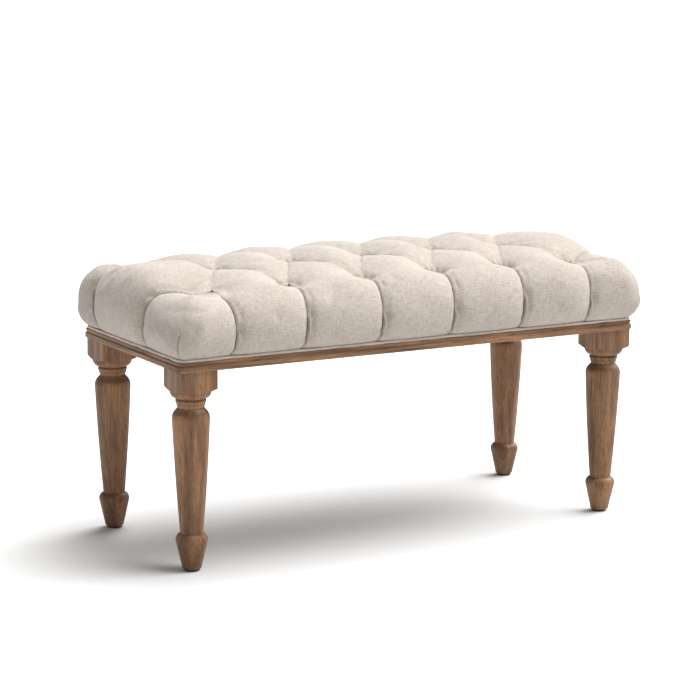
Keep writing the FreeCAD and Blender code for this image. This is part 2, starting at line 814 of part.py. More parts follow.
def main():
    os.makedirs("parts", exist_ok=True)
    leg = make_leg()
    for name, (sx, sy) in corners.items():
        save(name + "_leg", place_leg(leg, sx, sy))
        save(name + "_glide", make_glide(sx, sy))
    signs = list(corners.values())
    save("glide_nails", group([make_glide_nail(sx, sy) for sx, sy in signs]))
    save("leg_hanger_bolts", group([make_hanger_bolt(sx, sy) for sx, sy in signs]))
    save("leg_tee_nuts", group([make_tee_nut(sx, sy) for sx, sy in signs]))
    save("leg_dowels", group([make_leg_dowel(sx, sy) for sx, sy in signs]))
    mitre = [make_mitre_dowel(sx, sy, offset, 0) for sx, sy in signs for offset in mitre_dowel_offsets]
    save("mitre_dowels", group(mitre))
    for side, board in make_surround().items():
        save(side + "_surround", board)
    save("seat_screws", group([make_screw(x, y, 0) for x, y in screw_places() + rail_screw_places()]))
    save("centre_rail", make_rail())
    save("seat_deck", make_deck())
    save("foam_core", make_foam())
    save("wadding", make_wadding())
    save("seat_cover", make_cover())
    save("piping", make_piping())
    save("piping_cord", ring_tube(piping_cord_radius, piping_z))
    save("tufting_twines", group([make_twine(x, y) for x, y in tuft_places]))
    save("twine_washers", group([make_washer(x, y) for x, y in tuft_places]))
    save("dust_cover", make_dust_cover())
    save("dust_cover_staples", group([make_staple(x, y, turned) for x, y, turned in staple_places()]))


main()
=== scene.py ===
import math

import bpy
import numpy as np
from mathutils import Matrix, Vector


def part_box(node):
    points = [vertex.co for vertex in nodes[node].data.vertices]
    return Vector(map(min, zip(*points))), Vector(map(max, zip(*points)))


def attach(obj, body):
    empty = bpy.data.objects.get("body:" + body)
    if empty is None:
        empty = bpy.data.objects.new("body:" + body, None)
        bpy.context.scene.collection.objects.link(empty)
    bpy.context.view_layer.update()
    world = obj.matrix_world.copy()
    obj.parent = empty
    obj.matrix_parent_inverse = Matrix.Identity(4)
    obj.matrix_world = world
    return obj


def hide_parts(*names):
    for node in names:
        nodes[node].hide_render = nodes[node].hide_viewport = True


# Looks of a tufted linen bench on four turned oak legs.
# Everything is in metres, front towards -Y, length along X, floor at Z = 0.

bl_info = {
    "name": "Tufted bench",
    "version": (1, 0, 0),
    "blender": (4, 5, 0),
    "location": "3D View > Sidebar > Bench",
    "description": "Dresses a tufted bench: linen cover, filling, piping, dust cover, oak and fittings",
    "category": "Object",
}

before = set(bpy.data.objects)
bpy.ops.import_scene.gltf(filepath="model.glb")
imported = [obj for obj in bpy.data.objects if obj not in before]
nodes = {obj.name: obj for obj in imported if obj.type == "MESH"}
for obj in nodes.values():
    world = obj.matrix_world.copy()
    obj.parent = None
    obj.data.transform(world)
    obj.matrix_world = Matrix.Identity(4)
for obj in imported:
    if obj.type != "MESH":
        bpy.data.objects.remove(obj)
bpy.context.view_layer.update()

cover_low, cover_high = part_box("seat_cover")
foam_low, foam_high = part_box("foam_core")
piping_low, piping_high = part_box("piping")
dust_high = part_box("dust_cover")[1]
leg_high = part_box("front_left_leg")[1]
deck_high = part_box("seat_deck")[1]
knots_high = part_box("tufting_twines")[1]


# Settings

def length(name, default, description):
    """A setting that is a length in metres."""
    return bpy.props.FloatProperty(
        name=name, description=description, default=default, unit="LENGTH"
    )


def tint(name, default, description):
    """A setting that is an opaque colour."""
    return bpy.props.FloatVectorProperty(
        name=name, description=description, default=(*default, 1.0), size=4, subtype="COLOR"
    )


class TuftedCushionSettings(bpy.types.PropertyGroup):
    """Sizes of the tufted cushion."""

    tuft_pitch: length("Tuft pitch", 0.142, "Distance between neighbouring tufts in a row")
    tuft_row_spacing: length(
        "Tuft row spacing",
        0.125,
        "Distance from the middle row of tufts to the front and back rows",
    )
    crown_rise: length(
        "Crown rise", 0.006, "How much the middle of the top stands above its edges"
    )
    end_fullness: length(
        "End fullness",
        0.007,
        "How much fuller the shoulders of the two ends are than those of the sides",
    )
    lean: length(
        "Lean", 0.0035, "How much lower the filling has settled on the left than on the right"
    )
    front_sag: length("Front sag", 0.012, "How much the filling has settled along the front edge")
    shoulder_width: length(
        "Shoulder width",
        0.082,
        "How far the rounded shoulder runs in from the widest part of the sides",
    )
    bulge_height: length(
        "Bulge height", 0.048, "Height of the widest part of the sides above the oak"
    )
    bulge_reach: length(
        "Bulge reach", 0.0230, "How far the sides stand out past their tucked edge"
    )
    pit_depth: length(
        "Tuft depth", 0.017, "Extra depth of the cup at each tuft below the folds that meet there"
    )
    pit_width: length("Tuft width", 0.0145, "Radius of the cup at each tuft")
    dip_depth: length("Dip depth", 0.013, "Depth of the wide dip of the pillows towards each tuft")
    dip_width: length("Dip width", 0.042, "Radius of the wide dip towards each tuft")
    fold_depth: length("Fold depth", 0.0135, "Depth of the folds between tufts at mid length")
    pleat_depth: length("Pleat depth", 0.0135, "Depth of the pleats down the long sides")
    end_pleat_depth: length("End pleat depth", 0.0185, "Depth of the pleats down the short sides")
    pleat_lap: length("Pleat lap", 0.0075, "How far one side of a pleat laps over the other")
    fold_lap: length(
        "Fold lap", 0.003, "How far one side of a fold between tufts laps over the other"
    )
    pillow_radius: length(
        "Pillow radius", 0.046, "Distance from a fold within which a pillow rounds over"
    )
    pucker_depth: length(
        "Pucker depth", 0.0026, "Depth of the small folds that gather into each tuft"
    )
    slackness: length("Slackness", 0.0009, "Depth of the soft unevenness of the filling")
    settle_limit: length(
        "Settling limit", 0.006, "Furthest that the cloth may move while it settles"
    )
    mesh_step: length("Mesh step", 0.0022, "Spacing of the points of the cover")


class BenchFinishSettings(bpy.types.PropertyGroup):
    """Colours and scales of the finishes."""

    linen_light: tint("Linen light", (0.585, 0.515, 0.455), "Colour of the lighter linen threads")
    linen_dark: tint(
        "Linen dark", (0.45, 0.388, 0.33), "Colour of the darker linen threads and slubs"
    )
    thread_pitch: length("Thread pitch", 0.0012, "Distance between linen threads")
    oak_light: tint(
        "Oak light", (0.25, 0.128, 0.060), "Colour of the pale wood between growth rings"
    )
    oak_dark: tint("Oak dark", (0.155, 0.075, 0.034), "Colour of the darker growth rings")
    oak_stain: tint(
        "Oak stain", (0.055, 0.03, 0.016), "Colour where stain has gathered in grooves and pores"
    )


class BenchStageSettings(bpy.types.PropertyGroup):
    """Camera, lights and floor."""

    lens: bpy.props.FloatProperty(
        name="Lens",
        description="Focal length in millimetres on a 36 mm sensor",
        default=113.94,
        subtype="DISTANCE_CAMERA",
    )
    key_strength: bpy.props.FloatProperty(
        name="Main light",
        description="Strength of the main soft light",
        default=7.2,
    )
    key_softness: bpy.props.FloatProperty(
        name="Main light softness",
        description="Angle that the main light fills",
        default=math.radians(66),
        subtype="ANGLE",
    )
    room_strength: bpy.props.FloatProperty(
        name="Room light",
        description="Strength of the even light of the room",
        default=0.36,
    )


# Shapes

def smooth_between(low, high, value):
    """0 below low, 1 above high, and a smooth S of the third degree between them."""
    x = np.clip((value - low) / (high - low), 0.0, 1.0)
    return x * x * (3.0 - 2.0 * x)


def bell(distance, width, power=2):
    """1 at no distance, falling as the exponential of minus (distance / width) to the power."""
    return np.exp(-((distance / width) ** power))


def pushed(lap, far, width):
    """How far the cloth beside a line moves over it: nothing on the line, the whole lap at
    the given width from it, and less and less beyond."""
    return lap * far / width * np.exp(1.0 - far / width)


def uneven(a, b, wavelength, seed, waves=14):
    """A soft random surface: the mean of sines over (a, b) whose directions, phases and
    wavelengths, spread about the given one, come from a fixed seed."""
    rng = np.random.default_rng(seed)
    total = np.zeros(np.broadcast(a, b).shape)
    for _ in range(waves):
        turn = rng.uniform(0.0, 2.0 * math.pi)
        reach = 2.0 * math.pi / (wavelength * rng.uniform(0.7, 1.6))
        phase = rng.uniform(0.0, 2.0 * math.pi)
        total += np.sin(reach * (math.cos(turn) * a + math.sin(turn) * b) + phase)
    return total / math.sqrt(waves / 2.0)


class SideProfile:
    """The curve that a cushion's side follows from its flat top to its tucked edge.

    reach is how far out from the core of the top a point lies and height is its Z, both
    as functions of the length along the cloth. It is a quarter of a superellipse of the
    given power down to the widest place, then an ellipse back in and under as far as the
    angle last, then a straight hem."""

    def __init__(self, shoulder, top, bulge, tuck_reach, tuck, hem, power=2.05, last=1.38):
        upper_count, under_count, hem_count = 500, 200, 30
        turn = np.linspace(0.0, math.pi / 2.0, upper_count)
        reach = [shoulder * np.sin(turn) ** (2.0 / power)]
        height = [bulge + (top - bulge) * np.cos(turn) ** (2.0 / power)]
        under = np.linspace(0.0, last, under_count)[1:]
        reach.append(shoulder - tuck_reach * (1 - np.cos(under)) / (1 - math.cos(last)))
        height.append(bulge - (bulge - tuck) * np.sin(under) / math.sin(last))
        edge = shoulder - tuck_reach
        for out, up in hem:
            reach.append(np.linspace(reach[-1][-1], edge + out, hem_count)[1:])
            height.append(np.linspace(height[-1][-1], up, hem_count)[1:])
        self.reach = np.concatenate(reach)
        self.height = np.concatenate(height)
        steps = np.hypot(np.diff(self.reach), np.diff(self.height))
        self.along = np.concatenate([[0.0], np.cumsum(steps)])
        self.length = self.along[-1]
        self.top = top
        self.bulge = bulge
        self.bulge_along = self.along[upper_count - 1]
        self.tuck_along = self.along[upper_count + under_count - 2]

    def place(self, along):
        """[reach, height] at a length along."""
        return np.stack([np.interp(along, self.along, line) for line in (self.reach, self.height)])

    def at(self, along):
        """(reach, height, outward part and upward part of the normal) at a length along."""
        each_way = 0.0015
        ahead = np.clip(along + each_way, 0.0, self.length)
        behind = np.clip(along - each_way, 0.0, self.length)
        out, up = self.place(ahead) - self.place(behind)
        size = np.maximum(np.hypot(out, up), 1e-9)
        return *self.place(along), -up / size, out / size


class CushionForm:
    """A flat sheet (a, b) laid over a cushion.

    Its middle lies on the top, whose core is core_x by core_y about the origin. Past the
    core the sheet follows the side profile. At a corner the longer of the two overhangs
    says how far down the profile a point is, and their ratio how far it is round the
    corner, so the sheet's own edge lies along the tucked edge of the cushion. corners
    holds the radius of the corners by the length down the profile, a little less on the
    right. The rest says how the top is crowned and how the filling has settled."""

    right_corner_share = 0.84

    def __init__(
        self,
        core_x,
        core_y,
        profile,
        corners,
        crown=0.0,
        length_crown=0.0,
        corner_drop=0.0,
        lean=0.0,
        front_sag=0.0,
        end_fullness=0.0,
    ):
        self.core_x = core_x
        self.core_y = core_y
        self.profile = profile
        self.corners = corners
        self.crown = crown
        self.length_crown = length_crown
        self.corner_drop = corner_drop
        self.lean = lean
        self.front_sag = front_sag
        self.end_fullness = end_fullness
        self.half_a = core_x + profile.length
        self.half_b = core_y + profile.length

    def down(self, a, b):
        """How far down the side each point of the sheet lies, negative on the top's core."""
        return np.maximum(np.abs(a) - self.core_x, np.abs(b) - self.core_y)

    def risen(self, a, b, x, y, height):
        """How much higher than the profile the cushion stands.

        The top is crowned across by a parabola that fades towards the ends, crowned along
        by another, and drops at the corners. It leans to the left and sags at the front.
        All of that fades in straight proportion down to the widest place. The shoulders
        of the ends are fuller by a parabola of that proportion, more on the left than on
        the right, except at the front left corner."""
        side_x = np.minimum(np.abs(a) / self.core_x, 1.0)
        side_y = np.minimum(np.abs(b) / self.core_y, 1.0)
        crown = (1.0 - side_y**2) * (1.0 - 0.4 * side_x**4)
        crown += self.length_crown * (1.0 - side_x**2)
        crown -= self.corner_drop * side_x**5 * side_y**2
        level_place = 0.7
        lowest, highest = -0.02, 0.001
        lean = self.lean * (a / self.core_x - level_place)
        lean -= self.front_sag * smooth_between(0.0, 0.1, -b)
        bulge, top = self.profile.bulge, self.profile.top
        up = np.clip((height - bulge) / (top - bulge), 0.0, 1.0)
        left_share = 1.6
        behind = np.maximum(smooth_between(-0.16, -0.02, y), smooth_between(0.0, 0.3, x))
        ends = smooth_between(0.24, 0.40, np.abs(x)) * behind * np.where(x < 0.0, left_share, 1.0)
        fuller = self.end_fullness * 4.0 * up * (1.0 - up) * ends
        return (self.crown * crown + np.clip(lean, lowest, highest)) * up + fuller

    def at(self, a, b):
        """(points, normals) of the plain cushion without its folds."""
        over_x = np.maximum(np.abs(a) - self.core_x, 0.0)
        over_y = np.maximum(np.abs(b) - self.core_y, 0.0)
        along = np.maximum(over_x, over_y)
        share = np.where(over_x + over_y > 0.0, over_y / np.maximum(over_x + over_y, 1e-9), 0.0)
        reach, height, outward, upward = self.profile.at(along)
        corner = np.interp(along, *self.corners)
        corner = np.minimum(corner * np.where(a > 0.0, self.right_corner_share, 1.0), reach)
        straight = reach - corner
        arc = corner * math.pi / 2.0
        place = share * (2.0 * straight + arc)
        angle = np.clip((place - straight) / np.maximum(corner, 1e-6), 0.0, math.pi / 2.0)
        out_x = straight + corner * np.cos(angle) - np.maximum(place - straight - arc, 0.0)
        out_y = np.minimum(place, straight) + corner * np.sin(angle)
        on_x_side = (over_x > 0.0) & (over_y <= 0.0)
        on_y_side = (over_y > 0.0) & (over_x <= 0.0)
        flat = along <= 0.0
        sign_x = np.where(a < 0.0, -1.0, 1.0)
        sign_y = np.where(b < 0.0, -1.0, 1.0)
        x = sign_x * (np.minimum(np.abs(a), self.core_x) + np.where(on_y_side | flat, 0.0, out_x))
        y = sign_y * (np.minimum(np.abs(b), self.core_y) + np.where(on_x_side | flat, 0.0, out_y))
        z = height + self.risen(a, b, x, y, height)
        plan_x = np.where(on_y_side, 0.0, np.cos(angle))
        plan_y = np.where(on_x_side, 0.0, np.sin(angle))
        normal_x = np.where(flat, 0.0, sign_x * outward * plan_x)
        normal_y = np.where(flat, 0.0, sign_y * outward * plan_y)
        normal_z = np.where(flat, 1.0, upward)
        points = np.stack([x, y, z], axis=-1)
        return points, np.stack([normal_x, normal_y, normal_z], axis=-1)


class Crease:
    """A line on the sheet along which the cover is drawn in.

    path holds (a, b, depth) points and lap says how far the side on its left laps over it, negative for
    the right side. lip is the same for the near side of a fold between tufts. slit holds where along it
    the fold closes to a slit, and how deep. valley is the radius that rounds the fold at mid length,
    and dark how much painted shade darkens the linen along it."""

    def __init__(self, path, lap, lip=0.0, slit=(0.0, 1.0, 0.0), valley=0.0, dark=1.0):
        self.path = np.array(path, dtype=float)
        self.lap = lap
        self.lip = lip
        self.slit = slit
        self.valley = valley
        self.dark = dark
        self.length = float(np.hypot(*np.diff(self.path[:, :2], axis=0).T).sum())

    def near(self, a, b):
        """(distance, signed side, depth, length along, unit direction) of the nearest
        place on the line to each point of the sheet."""
        best = np.full(a.shape, np.inf)
        nearest = np.zeros((5, *a.shape))
        done = 0.0
        for start, end in zip(self.path[:-1], self.path[1:]):
            run = end[:2] - start[:2]
            length = float(np.hypot(*run))
            way = run / length
            t = np.clip(((a - start[0]) * way[0] + (b - start[1]) * way[1]) / length, 0.0, 1.0)
            off_a = a - start[0] - t * run[0]
            off_b = b - start[1] - t * run[1]
            far = np.hypot(off_a, off_b)
            closer = far < best
            best = np.where(closer, far, best)
            side = np.where(way[0] * off_b - way[1] * off_a >= 0.0, far, -far)
            depth = start[2] + t * (end[2] - start[2])
            for kept, found in zip(nearest, (side, depth, done + t * length, *way)):
                np.copyto(kept, found, where=closer)
            done += length
        return best, *nearest


def bent_line(start, end, sag, depths, count=9):
    """Points from start to end on a shallow arc that stands sag to the left of the
    straight line, with the depth at each read from depths by its share of the way."""
    share = np.linspace(0.0, 1.0, count)
    run = np.array(end) - np.array(start)
    left = np.array([-run[1], run[0]]) / np.hypot(*run)
    bow = 4.0 * sag * share * (1.0 - share)
    line = np.array(start) + share[:, None] * run + bow[:, None] * left
    return np.column_stack([line, np.interp(share, *depths)])


def tuft_places(cushion):
    """The tufts of the front, middle and back rows on the sheet."""

    def row(count, y):
        return [(cushion.tuft_pitch * (i - 0.5 * (count - 1)), y) for i in range(count)]

    spacing = cushion.tuft_row_spacing
    return row(6, -spacing), row(5, 0.0), row(6, spacing)


def cover_creases(cushion, form):
    """Every fold and pleat of the cover, as lines on the sheet.

    From each middle tuft one fold runs to the tuft ahead on its left and one to that on
    its right, and so behind. From each outer tuft a pleat runs down the side, drifting to
    the left on the way, and from each corner tuft another one runs down the end. A fold
    has its depths, bow, lip, slit and valley."""
    front, middle, back = tuft_places(cushion)
    deep = 0.78 * cushion.fold_depth
    share = [0.0, 0.2, 0.4, 0.6, 0.8, 1.0]
    even_fold = (share, [cushion.fold_depth * d for d in (1.15, 0.8, 0.55, 0.55, 0.8, 1.15)])
    faint_fold = (share, [cushion.fold_depth * d for d in (1.1, 0.6, 0.4, 0.75, 1.1, 1.15)])
    left_fold = (even_fold, 0.003, cushion.fold_lap, (0.0, 0.01, 0.0015), 0.011)
    right_fold = (faint_fold, -0.003, 1.7 * cushion.fold_lap, (0.060, 0.105, 0.0085), 0.004)
    back_slit = (0.0, 0.01, 0.001)
    back_valley = 0.007
    creases = []
    for i, tuft in enumerate(middle):
        for j, (depths, bow, lip, slit, valley) in ((i, left_fold), (i + 1, right_fold)):
            front_line = bent_line(front[j], tuft, bow, depths)
            back_line = bent_line(tuft, back[j], -bow, even_fold)
            creases.append(Crease(front_line, 0.0, lip, slit, valley))
            creases.append(Crease(back_line, 0.0, cushion.fold_lap, back_slit, back_valley))
    bulge = form.core_y + form.profile.bulge_along
    tuck = form.core_y + form.profile.tuck_along
    drifts = (0.001, -0.012, -0.011, -0.013, -0.013, -0.015)
    for row, way, drift_share in ((front, -1.0, 1.0), (back, 1.0, -0.6)):
        for (x, y), front_drift in zip(row, drifts):
            drift = drift_share * front_drift
            path = [
                (x, y, deep),
                (x + 0.05 * drift, way * (form.core_y + 0.012), 1.45 * cushion.pleat_depth),
                (x + 0.3 * drift, way * (form.core_y + 0.040), 1.1 * cushion.pleat_depth),
                (x + 0.75 * drift, way * (form.core_y + 0.085), cushion.pleat_depth),
                (x + drift, way * bulge, 0.95 * cushion.pleat_depth),
                (x + drift, way * (bulge + 0.03), 0.75 * cushion.pleat_depth),
                (x + 0.85 * drift, way * tuck, 0.0015),
                (x + 0.85 * drift, way * form.half_b, 0.0),
            ]
            creases.append(Crease(path, way * cushion.pleat_lap))
    bulge = form.core_x + form.profile.bulge_along
    tuck = form.core_x + form.profile.tuck_along
    front_ys = (-0.115, -0.099, -0.083, -0.071, -0.064, -0.062)
    back_ys = (0.126, 0.128, 0.130, 0.131, 0.131, 0.130)
    for way, depth_share in ((-1.0, 1.0), (1.0, 0.45)):
        for row, ys in ((front, front_ys), (back, back_ys)):
            x, y = row[0] if way < 0 else row[-1]
            x = abs(x)
            depth = depth_share * cushion.end_pleat_depth
            bold = way < 0 and y > 0
            path = [
                (way * x, y, deep),
                (way * (x + 0.018), ys[0], (1.5 if bold else 1.0) * depth),
                (way * (form.core_x + 0.015), ys[1], 0.95 * depth),
                (way * (form.core_x + 0.055), ys[2], 0.9 * depth),
                (way * bulge, ys[3], depth),
                (way * (bulge + 0.03), ys[4], 0.7 * depth),
                (way * tuck, ys[5], 0.001),
                (way * form.half_a, ys[5], 0.0),
            ]
            # dark is the painted shade along each end pleat: full at the back left one, less at the
            # others.
            creases.append(Crease(path, -0.8 * way * cushion.pleat_lap, dark=1.0 if bold else 0.45))
    return creases


def cover_darts(form):
    """The short sewn darts low on the four corners, along the diagonals of the sheet."""
    darts = []
    dart_lap = 0.003
    start = form.profile.bulge_along - 0.004
    end = form.profile.length
    for sx in (-1.0, 1.0):
        for sy in (-1.0, 1.0):
            path = [
                (sx * (form.core_x + start - 0.004), sy * (form.core_y + start + 0.006), 0.0),
                (sx * (form.core_x + start + 0.012), sy * (form.core_y + start + 0.010), 0.005),
                (sx * (form.core_x + end), sy * (form.core_y + 0.88 * end), 0.002),
            ]
            darts.append(Crease(path, dart_lap * sx * sy))
    return darts


def lapped_pleat(crease, number, far, side, along, strength):
    """(push, relief, slit, painted shade) of a pleat, whose one side laps over the other.

    The lapping side moves over the line. The side under it has a ridge and then a hollow, which swell
    and fade along the pleat, and a dimple at the place below which the pleat closes. The line itself is
    a narrow slit, and the painted shade along it is wider on the under side."""
    lap_width, slit_width = 0.0045, 0.0026
    ridge, hollow, dimple, slit = 0.0026, 0.0022, 0.0042, 0.0105
    lapping = np.where(side * crease.lap > 0.0, 1.0, 0.0)
    push = pushed(crease.lap, far, lap_width) * lapping * strength
    under = (1.0 - lapping) * strength
    phase = 2.3 * number
    closing = 0.126 + 0.012 * math.sin(phase)
    lower = smooth_between(closing - 0.008, closing + 0.012, along)
    swell = (0.25 + 0.95 * lower) * (1.0 + 0.3 * np.sin(along / 0.017 + phase))
    relief = ridge * swell * bell(far - 0.0068, 0.0023)
    relief -= hollow * swell * bell(far - 0.0122, 0.0036)
    relief -= dimple * bell(along - closing, 0.011) * bell(far - 0.009, 0.0055)
    # Painted shade along the pleat's line, wider and fainter on the under side low down.
    shade_width = slit_width + (0.0014 + 0.0018 * lower) * under
    line_shade = 0.9 * strength * bell(far, shade_width, 4)
    under_shade = 0.3 * under * lower * bell(far, 0.008, 1)
    shade = crease.dark * np.maximum(line_shade, under_shade)
    return push, under * relief, slit * strength * bell(far, slit_width, 1), shade


def open_fold(crease, far, front_side, along, strength):
    """(push to the back, slit, painted shade) of a fold between tufts, whose near side leans over it by
    the lip and which may close to a slit on part of its way."""
    lip_width, slit_width, shade_width = 0.006, 0.0026, 0.0034
    shade_by_depth = 105.0
    fading = smooth_between(0.0, 0.03, 0.15 - along)
    push = pushed(crease.lip, far, lip_width) * np.where(front_side, 1.0, 0.0) * strength * fading
    start, end, deepest = crease.slit
    slit = deepest * smooth_between(start, end, along) * strength
    # Painted shade along the part of the fold that closes to a slit.
    return push, slit * bell(far, slit_width, 1), shade_by_depth * slit * bell(far, shade_width, 4)


def draw_in(cushion, form, a, b):
    """(depth below the plain cushion, shift along a, shift along b, hold, painted shade) of the cover.

    Nearness to all the creases together is the power mean of the distances to them. A pillow rises from
    its creases as one minus a power of that distance over the pillow radius. The depth of the folds at
    a point is the mean of the creases' own depths, weighted by nearness. Each tuft adds a cup and a
    wide dip that fall off as bells, with small gathers round it, and each pleat moves its lapping side
    over the other one. hold is 1 on the creases, and shade is the painted shade that darkens the linen
    down in the folds, pleats, darts and tuft cups."""
    nearness, weights, depths, shift_a, shift_b, relief, slits, shade = np.zeros((8, *a.shape))
    snap_distance, closest, spread = 0.0016, 0.0004, 0.002
    full_depth = 0.006
    for number, crease in enumerate(cover_creases(cushion, form)):
        far, side, depth, along, way_a, way_b = crease.near(a, b)
        mid = np.sin(math.pi * np.clip(along / crease.length, 0.0, 1.0)) * (crease.valley > 0)
        snapped = far * (1.0 - bell(far, snap_distance))
        push = np.sign(side) * (far - snapped) * (1.0 - 0.8 * mid)
        close = np.maximum(np.hypot(snapped, crease.valley * mid), closest)
        nearness += 1.0 / close**2
        weight = 1.0 / (close**2 + spread**2) ** 2
        weights += weight
        depths += weight * depth
        strength = np.clip(depth / full_depth, 0.0, 1.0) * smooth_between(0.006, 0.028, along)
        if crease.lap:
            lap, raised, slit, dark = lapped_pleat(crease, number, far, side, along, strength)
            push += lap
            relief += raised
        else:
            lip, slit, dark = open_fold(crease, far, way_a * side < 0.0, along, strength)
            shift_b += lip
        shift_a += way_b * push
        shift_b -= way_a * push
        slits += slit
        shade = np.maximum(shade, dark)
    blend = 1.0 / np.sqrt(nearness)
    part = np.clip(blend / cushion.pillow_radius, 0.0, 1.0)
    fullness = (1.0 - (1.0 - part) ** 1.6) ** 0.8
    depth = depths / weights * (1.0 - fullness) + slits
    front_share, tuft_shade, tuft_shade_width = 0.85, 0.9, 0.012
    gather_place, gather_width = 0.013, 0.009
    rng = np.random.default_rng(11)
    for x, y in sum(tuft_places(cushion), []):
        far = np.hypot(a - x, b - y)
        turn = np.arctan2(b - y, a - x)
        cup = cushion.pit_depth * bell(far, cushion.pit_width)
        cup += cushion.dip_depth * bell(far, cushion.dip_width, 1.6)
        depth += (front_share if y < 0 else 1.0) * cup
        # Painted shade darkens the linen in each tuft cup.
        shade = np.maximum(shade, tuft_shade * bell(far, tuft_shade_width))
        gathers = rng.integers(8, 12)
        phase = rng.uniform(0.0, 6.0)
        swing = np.cos(gathers * turn + phase + 3.0 * np.sin(turn + rng.uniform(0.0, 6.0)))
        ring = bell(far - gather_place, gather_width) * smooth_between(0.001, 0.006, far)
        relief -= cushion.pucker_depth * swing * ring
    dart_width, dart_shade_width, dart_lap_width = 0.0028, 0.0022, 0.004
    for dart in cover_darts(form):
        far, side, deep, _, way_a, way_b = dart.near(a, b)
        depth += deep * bell(far, dart_width, 1)
        # Painted shade darkens the linen along each dart, more where it is deeper.
        dark = np.clip(160.0 * deep, 0.0, 0.8) * bell(far, dart_shade_width)
        shade = np.maximum(shade, dark)
        lapping = np.where(side * dart.lap > 0.0, 1.0, 0.0) * np.clip(deep / 0.002, 0.0, 1.0)
        push = pushed(dart.lap, far, dart_lap_width) * lapping
        shift_a += way_b * push
        shift_b -= way_a * push
    off_hem = smooth_between(form.profile.tuck_along, form.profile.bulge_along, form.down(a, b))
    soft = 0.5 * uneven(a, b, 0.055, 5) + 0.7 * uneven(a, b, 0.11, 6)
    depth -= off_hem * (relief + cushion.slackness * soft * fullness)
    hold = 1.0 - smooth_between(0.003, 0.014, blend)
    return depth, shift_a, shift_b, hold, np.clip(shade, 0.0, 1.0)


def cover_form(cushion):
    """The plain form of the linen cover, from the box of the CAD cover."""
    seam_rise = 0.0015
    base = cover_low[2]
    hem = [(-0.0035, base + 0.0040), (-0.0042, base + 0.0006), (-0.016, base + 0.0005)]
    profile = SideProfile(
        cushion.shoulder_width,
        cover_high[2] - cushion.crown_rise + seam_rise,
        base + cushion.bulge_height,
        cushion.bulge_reach,
        base + 0.0060,
        hem,
        last=1.15,
    )
    alongs = [0.0, 0.03, 0.08, profile.bulge_along, profile.tuck_along, profile.length]
    return CushionForm(
        cover_high[0] - cushion.shoulder_width,
        cover_high[1] - cushion.shoulder_width,
        profile,
        (alongs, [0.001, 0.03, 0.064, 0.058, 0.014, 0.011]),
        crown=cushion.crown_rise,
        length_crown=0.9,
        corner_drop=1.2,
        lean=cushion.lean,
        front_sag=cushion.front_sag,
        end_fullness=cushion.end_fullness,
    )


def rest_under_knots(cushion, points):
    """Keeps the bottom of each tuft at the underside of its knot, by a soft lower bound:
    the bound plus a bend times the logarithm of one plus the exponential of the rest."""
    knot_height = 0.0044
    bend = 0.0012
    inner, outer = 0.010, 0.042
    floor = knots_high[2] - knot_height
    over = (points[..., 2] - floor) / bend
    bounded = floor + bend * np.logaddexp(0.0, over)
    for x, y in sum(tuft_places(cushion), []):
        far = np.hypot(points[..., 0] - x, points[..., 1] - y)
        share = 1.0 - smooth_between(inner, outer, far)
        points[..., 2] += share * (bounded - points[..., 2])


def sheet_grid(form, step):
    """Sheet coordinates of a grid whose step is as near as can be to the one asked for."""
    count_a = int(round(2.0 * form.half_a / step)) + 1
    count_b = int(round(2.0 * form.half_b / step)) + 1
    a = np.linspace(-form.half_a, form.half_a, count_a)
    b = np.linspace(-form.half_b, form.half_b, count_b)
    return np.meshgrid(a, b, indexing="ij")


def cover_points(cushion, form, a, b):
    """(points, hold, painted shade) of the tufted cover: the plain cushion at the shifted sheet place,
    moved inwards along its normal by the depth that draw_in gives."""
    depth, shift_a, shift_b, hold, shade = draw_in(cushion, form, a, b)
    points, normals = form.at(a + shift_a, b + shift_b)
    return points - normals * depth[..., None], hold, shade


def grid_faces(rows, columns):
    """Corner numbers of the quads of a grid, wound so that they face out of the sheet."""
    number = np.arange(rows * columns).reshape(rows, columns)
    quads = [number[:-1, :-1], number[1:, :-1], number[1:, 1:], number[:-1, 1:]]
    return np.stack(quads, axis=-1).reshape(-1, 4)


def added(name, data):
    """A new object of the scene."""
    piece = bpy.data.objects.new(name, data)
    bpy.context.scene.collection.objects.link(piece)
    return piece


def surface(name, points, faces, uv=None):
    """A smooth mesh object from whole arrays of points, faces and texture places."""
    mesh = bpy.data.meshes.new(name)
    corners = faces.shape[1]
    mesh.vertices.add(len(points))
    mesh.vertices.foreach_set("co", np.ascontiguousarray(points, dtype=np.float32).ravel())
    mesh.loops.add(faces.size)
    mesh.loops.foreach_set("vertex_index", faces.ravel().astype(np.int32))
    mesh.polygons.add(len(faces))
    mesh.polygons.foreach_set("loop_start", np.arange(0, faces.size, corners, dtype=np.int32))
    mesh.update(calc_edges=True)
    mesh.validate()
    mesh.polygons.foreach_set("use_smooth", np.ones(len(faces), dtype=bool))
    if uv is not None:
        layer = mesh.uv_layers.new(name="cloth")
        layer.data.foreach_set("uv", uv[faces.ravel()].astype(np.float32).ravel())
    return added(name, mesh)


def laid_cloth(name, points, uv=None):
    """A smooth mesh object from a grid of points and of texture places."""
    if uv is not None:
        uv = uv.reshape(-1, 2)
    return surface(name, points.reshape(-1, 3), grid_faces(*points.shape[:2]), uv)


def sheet_uv(form, a, b):
    """(texture places, size) of a sheet, which is one unit of texture long."""
    size = 2.0 * form.half_a
    return np.stack([(a + form.half_a) / size, (b + form.half_b) / size], axis=-1), size


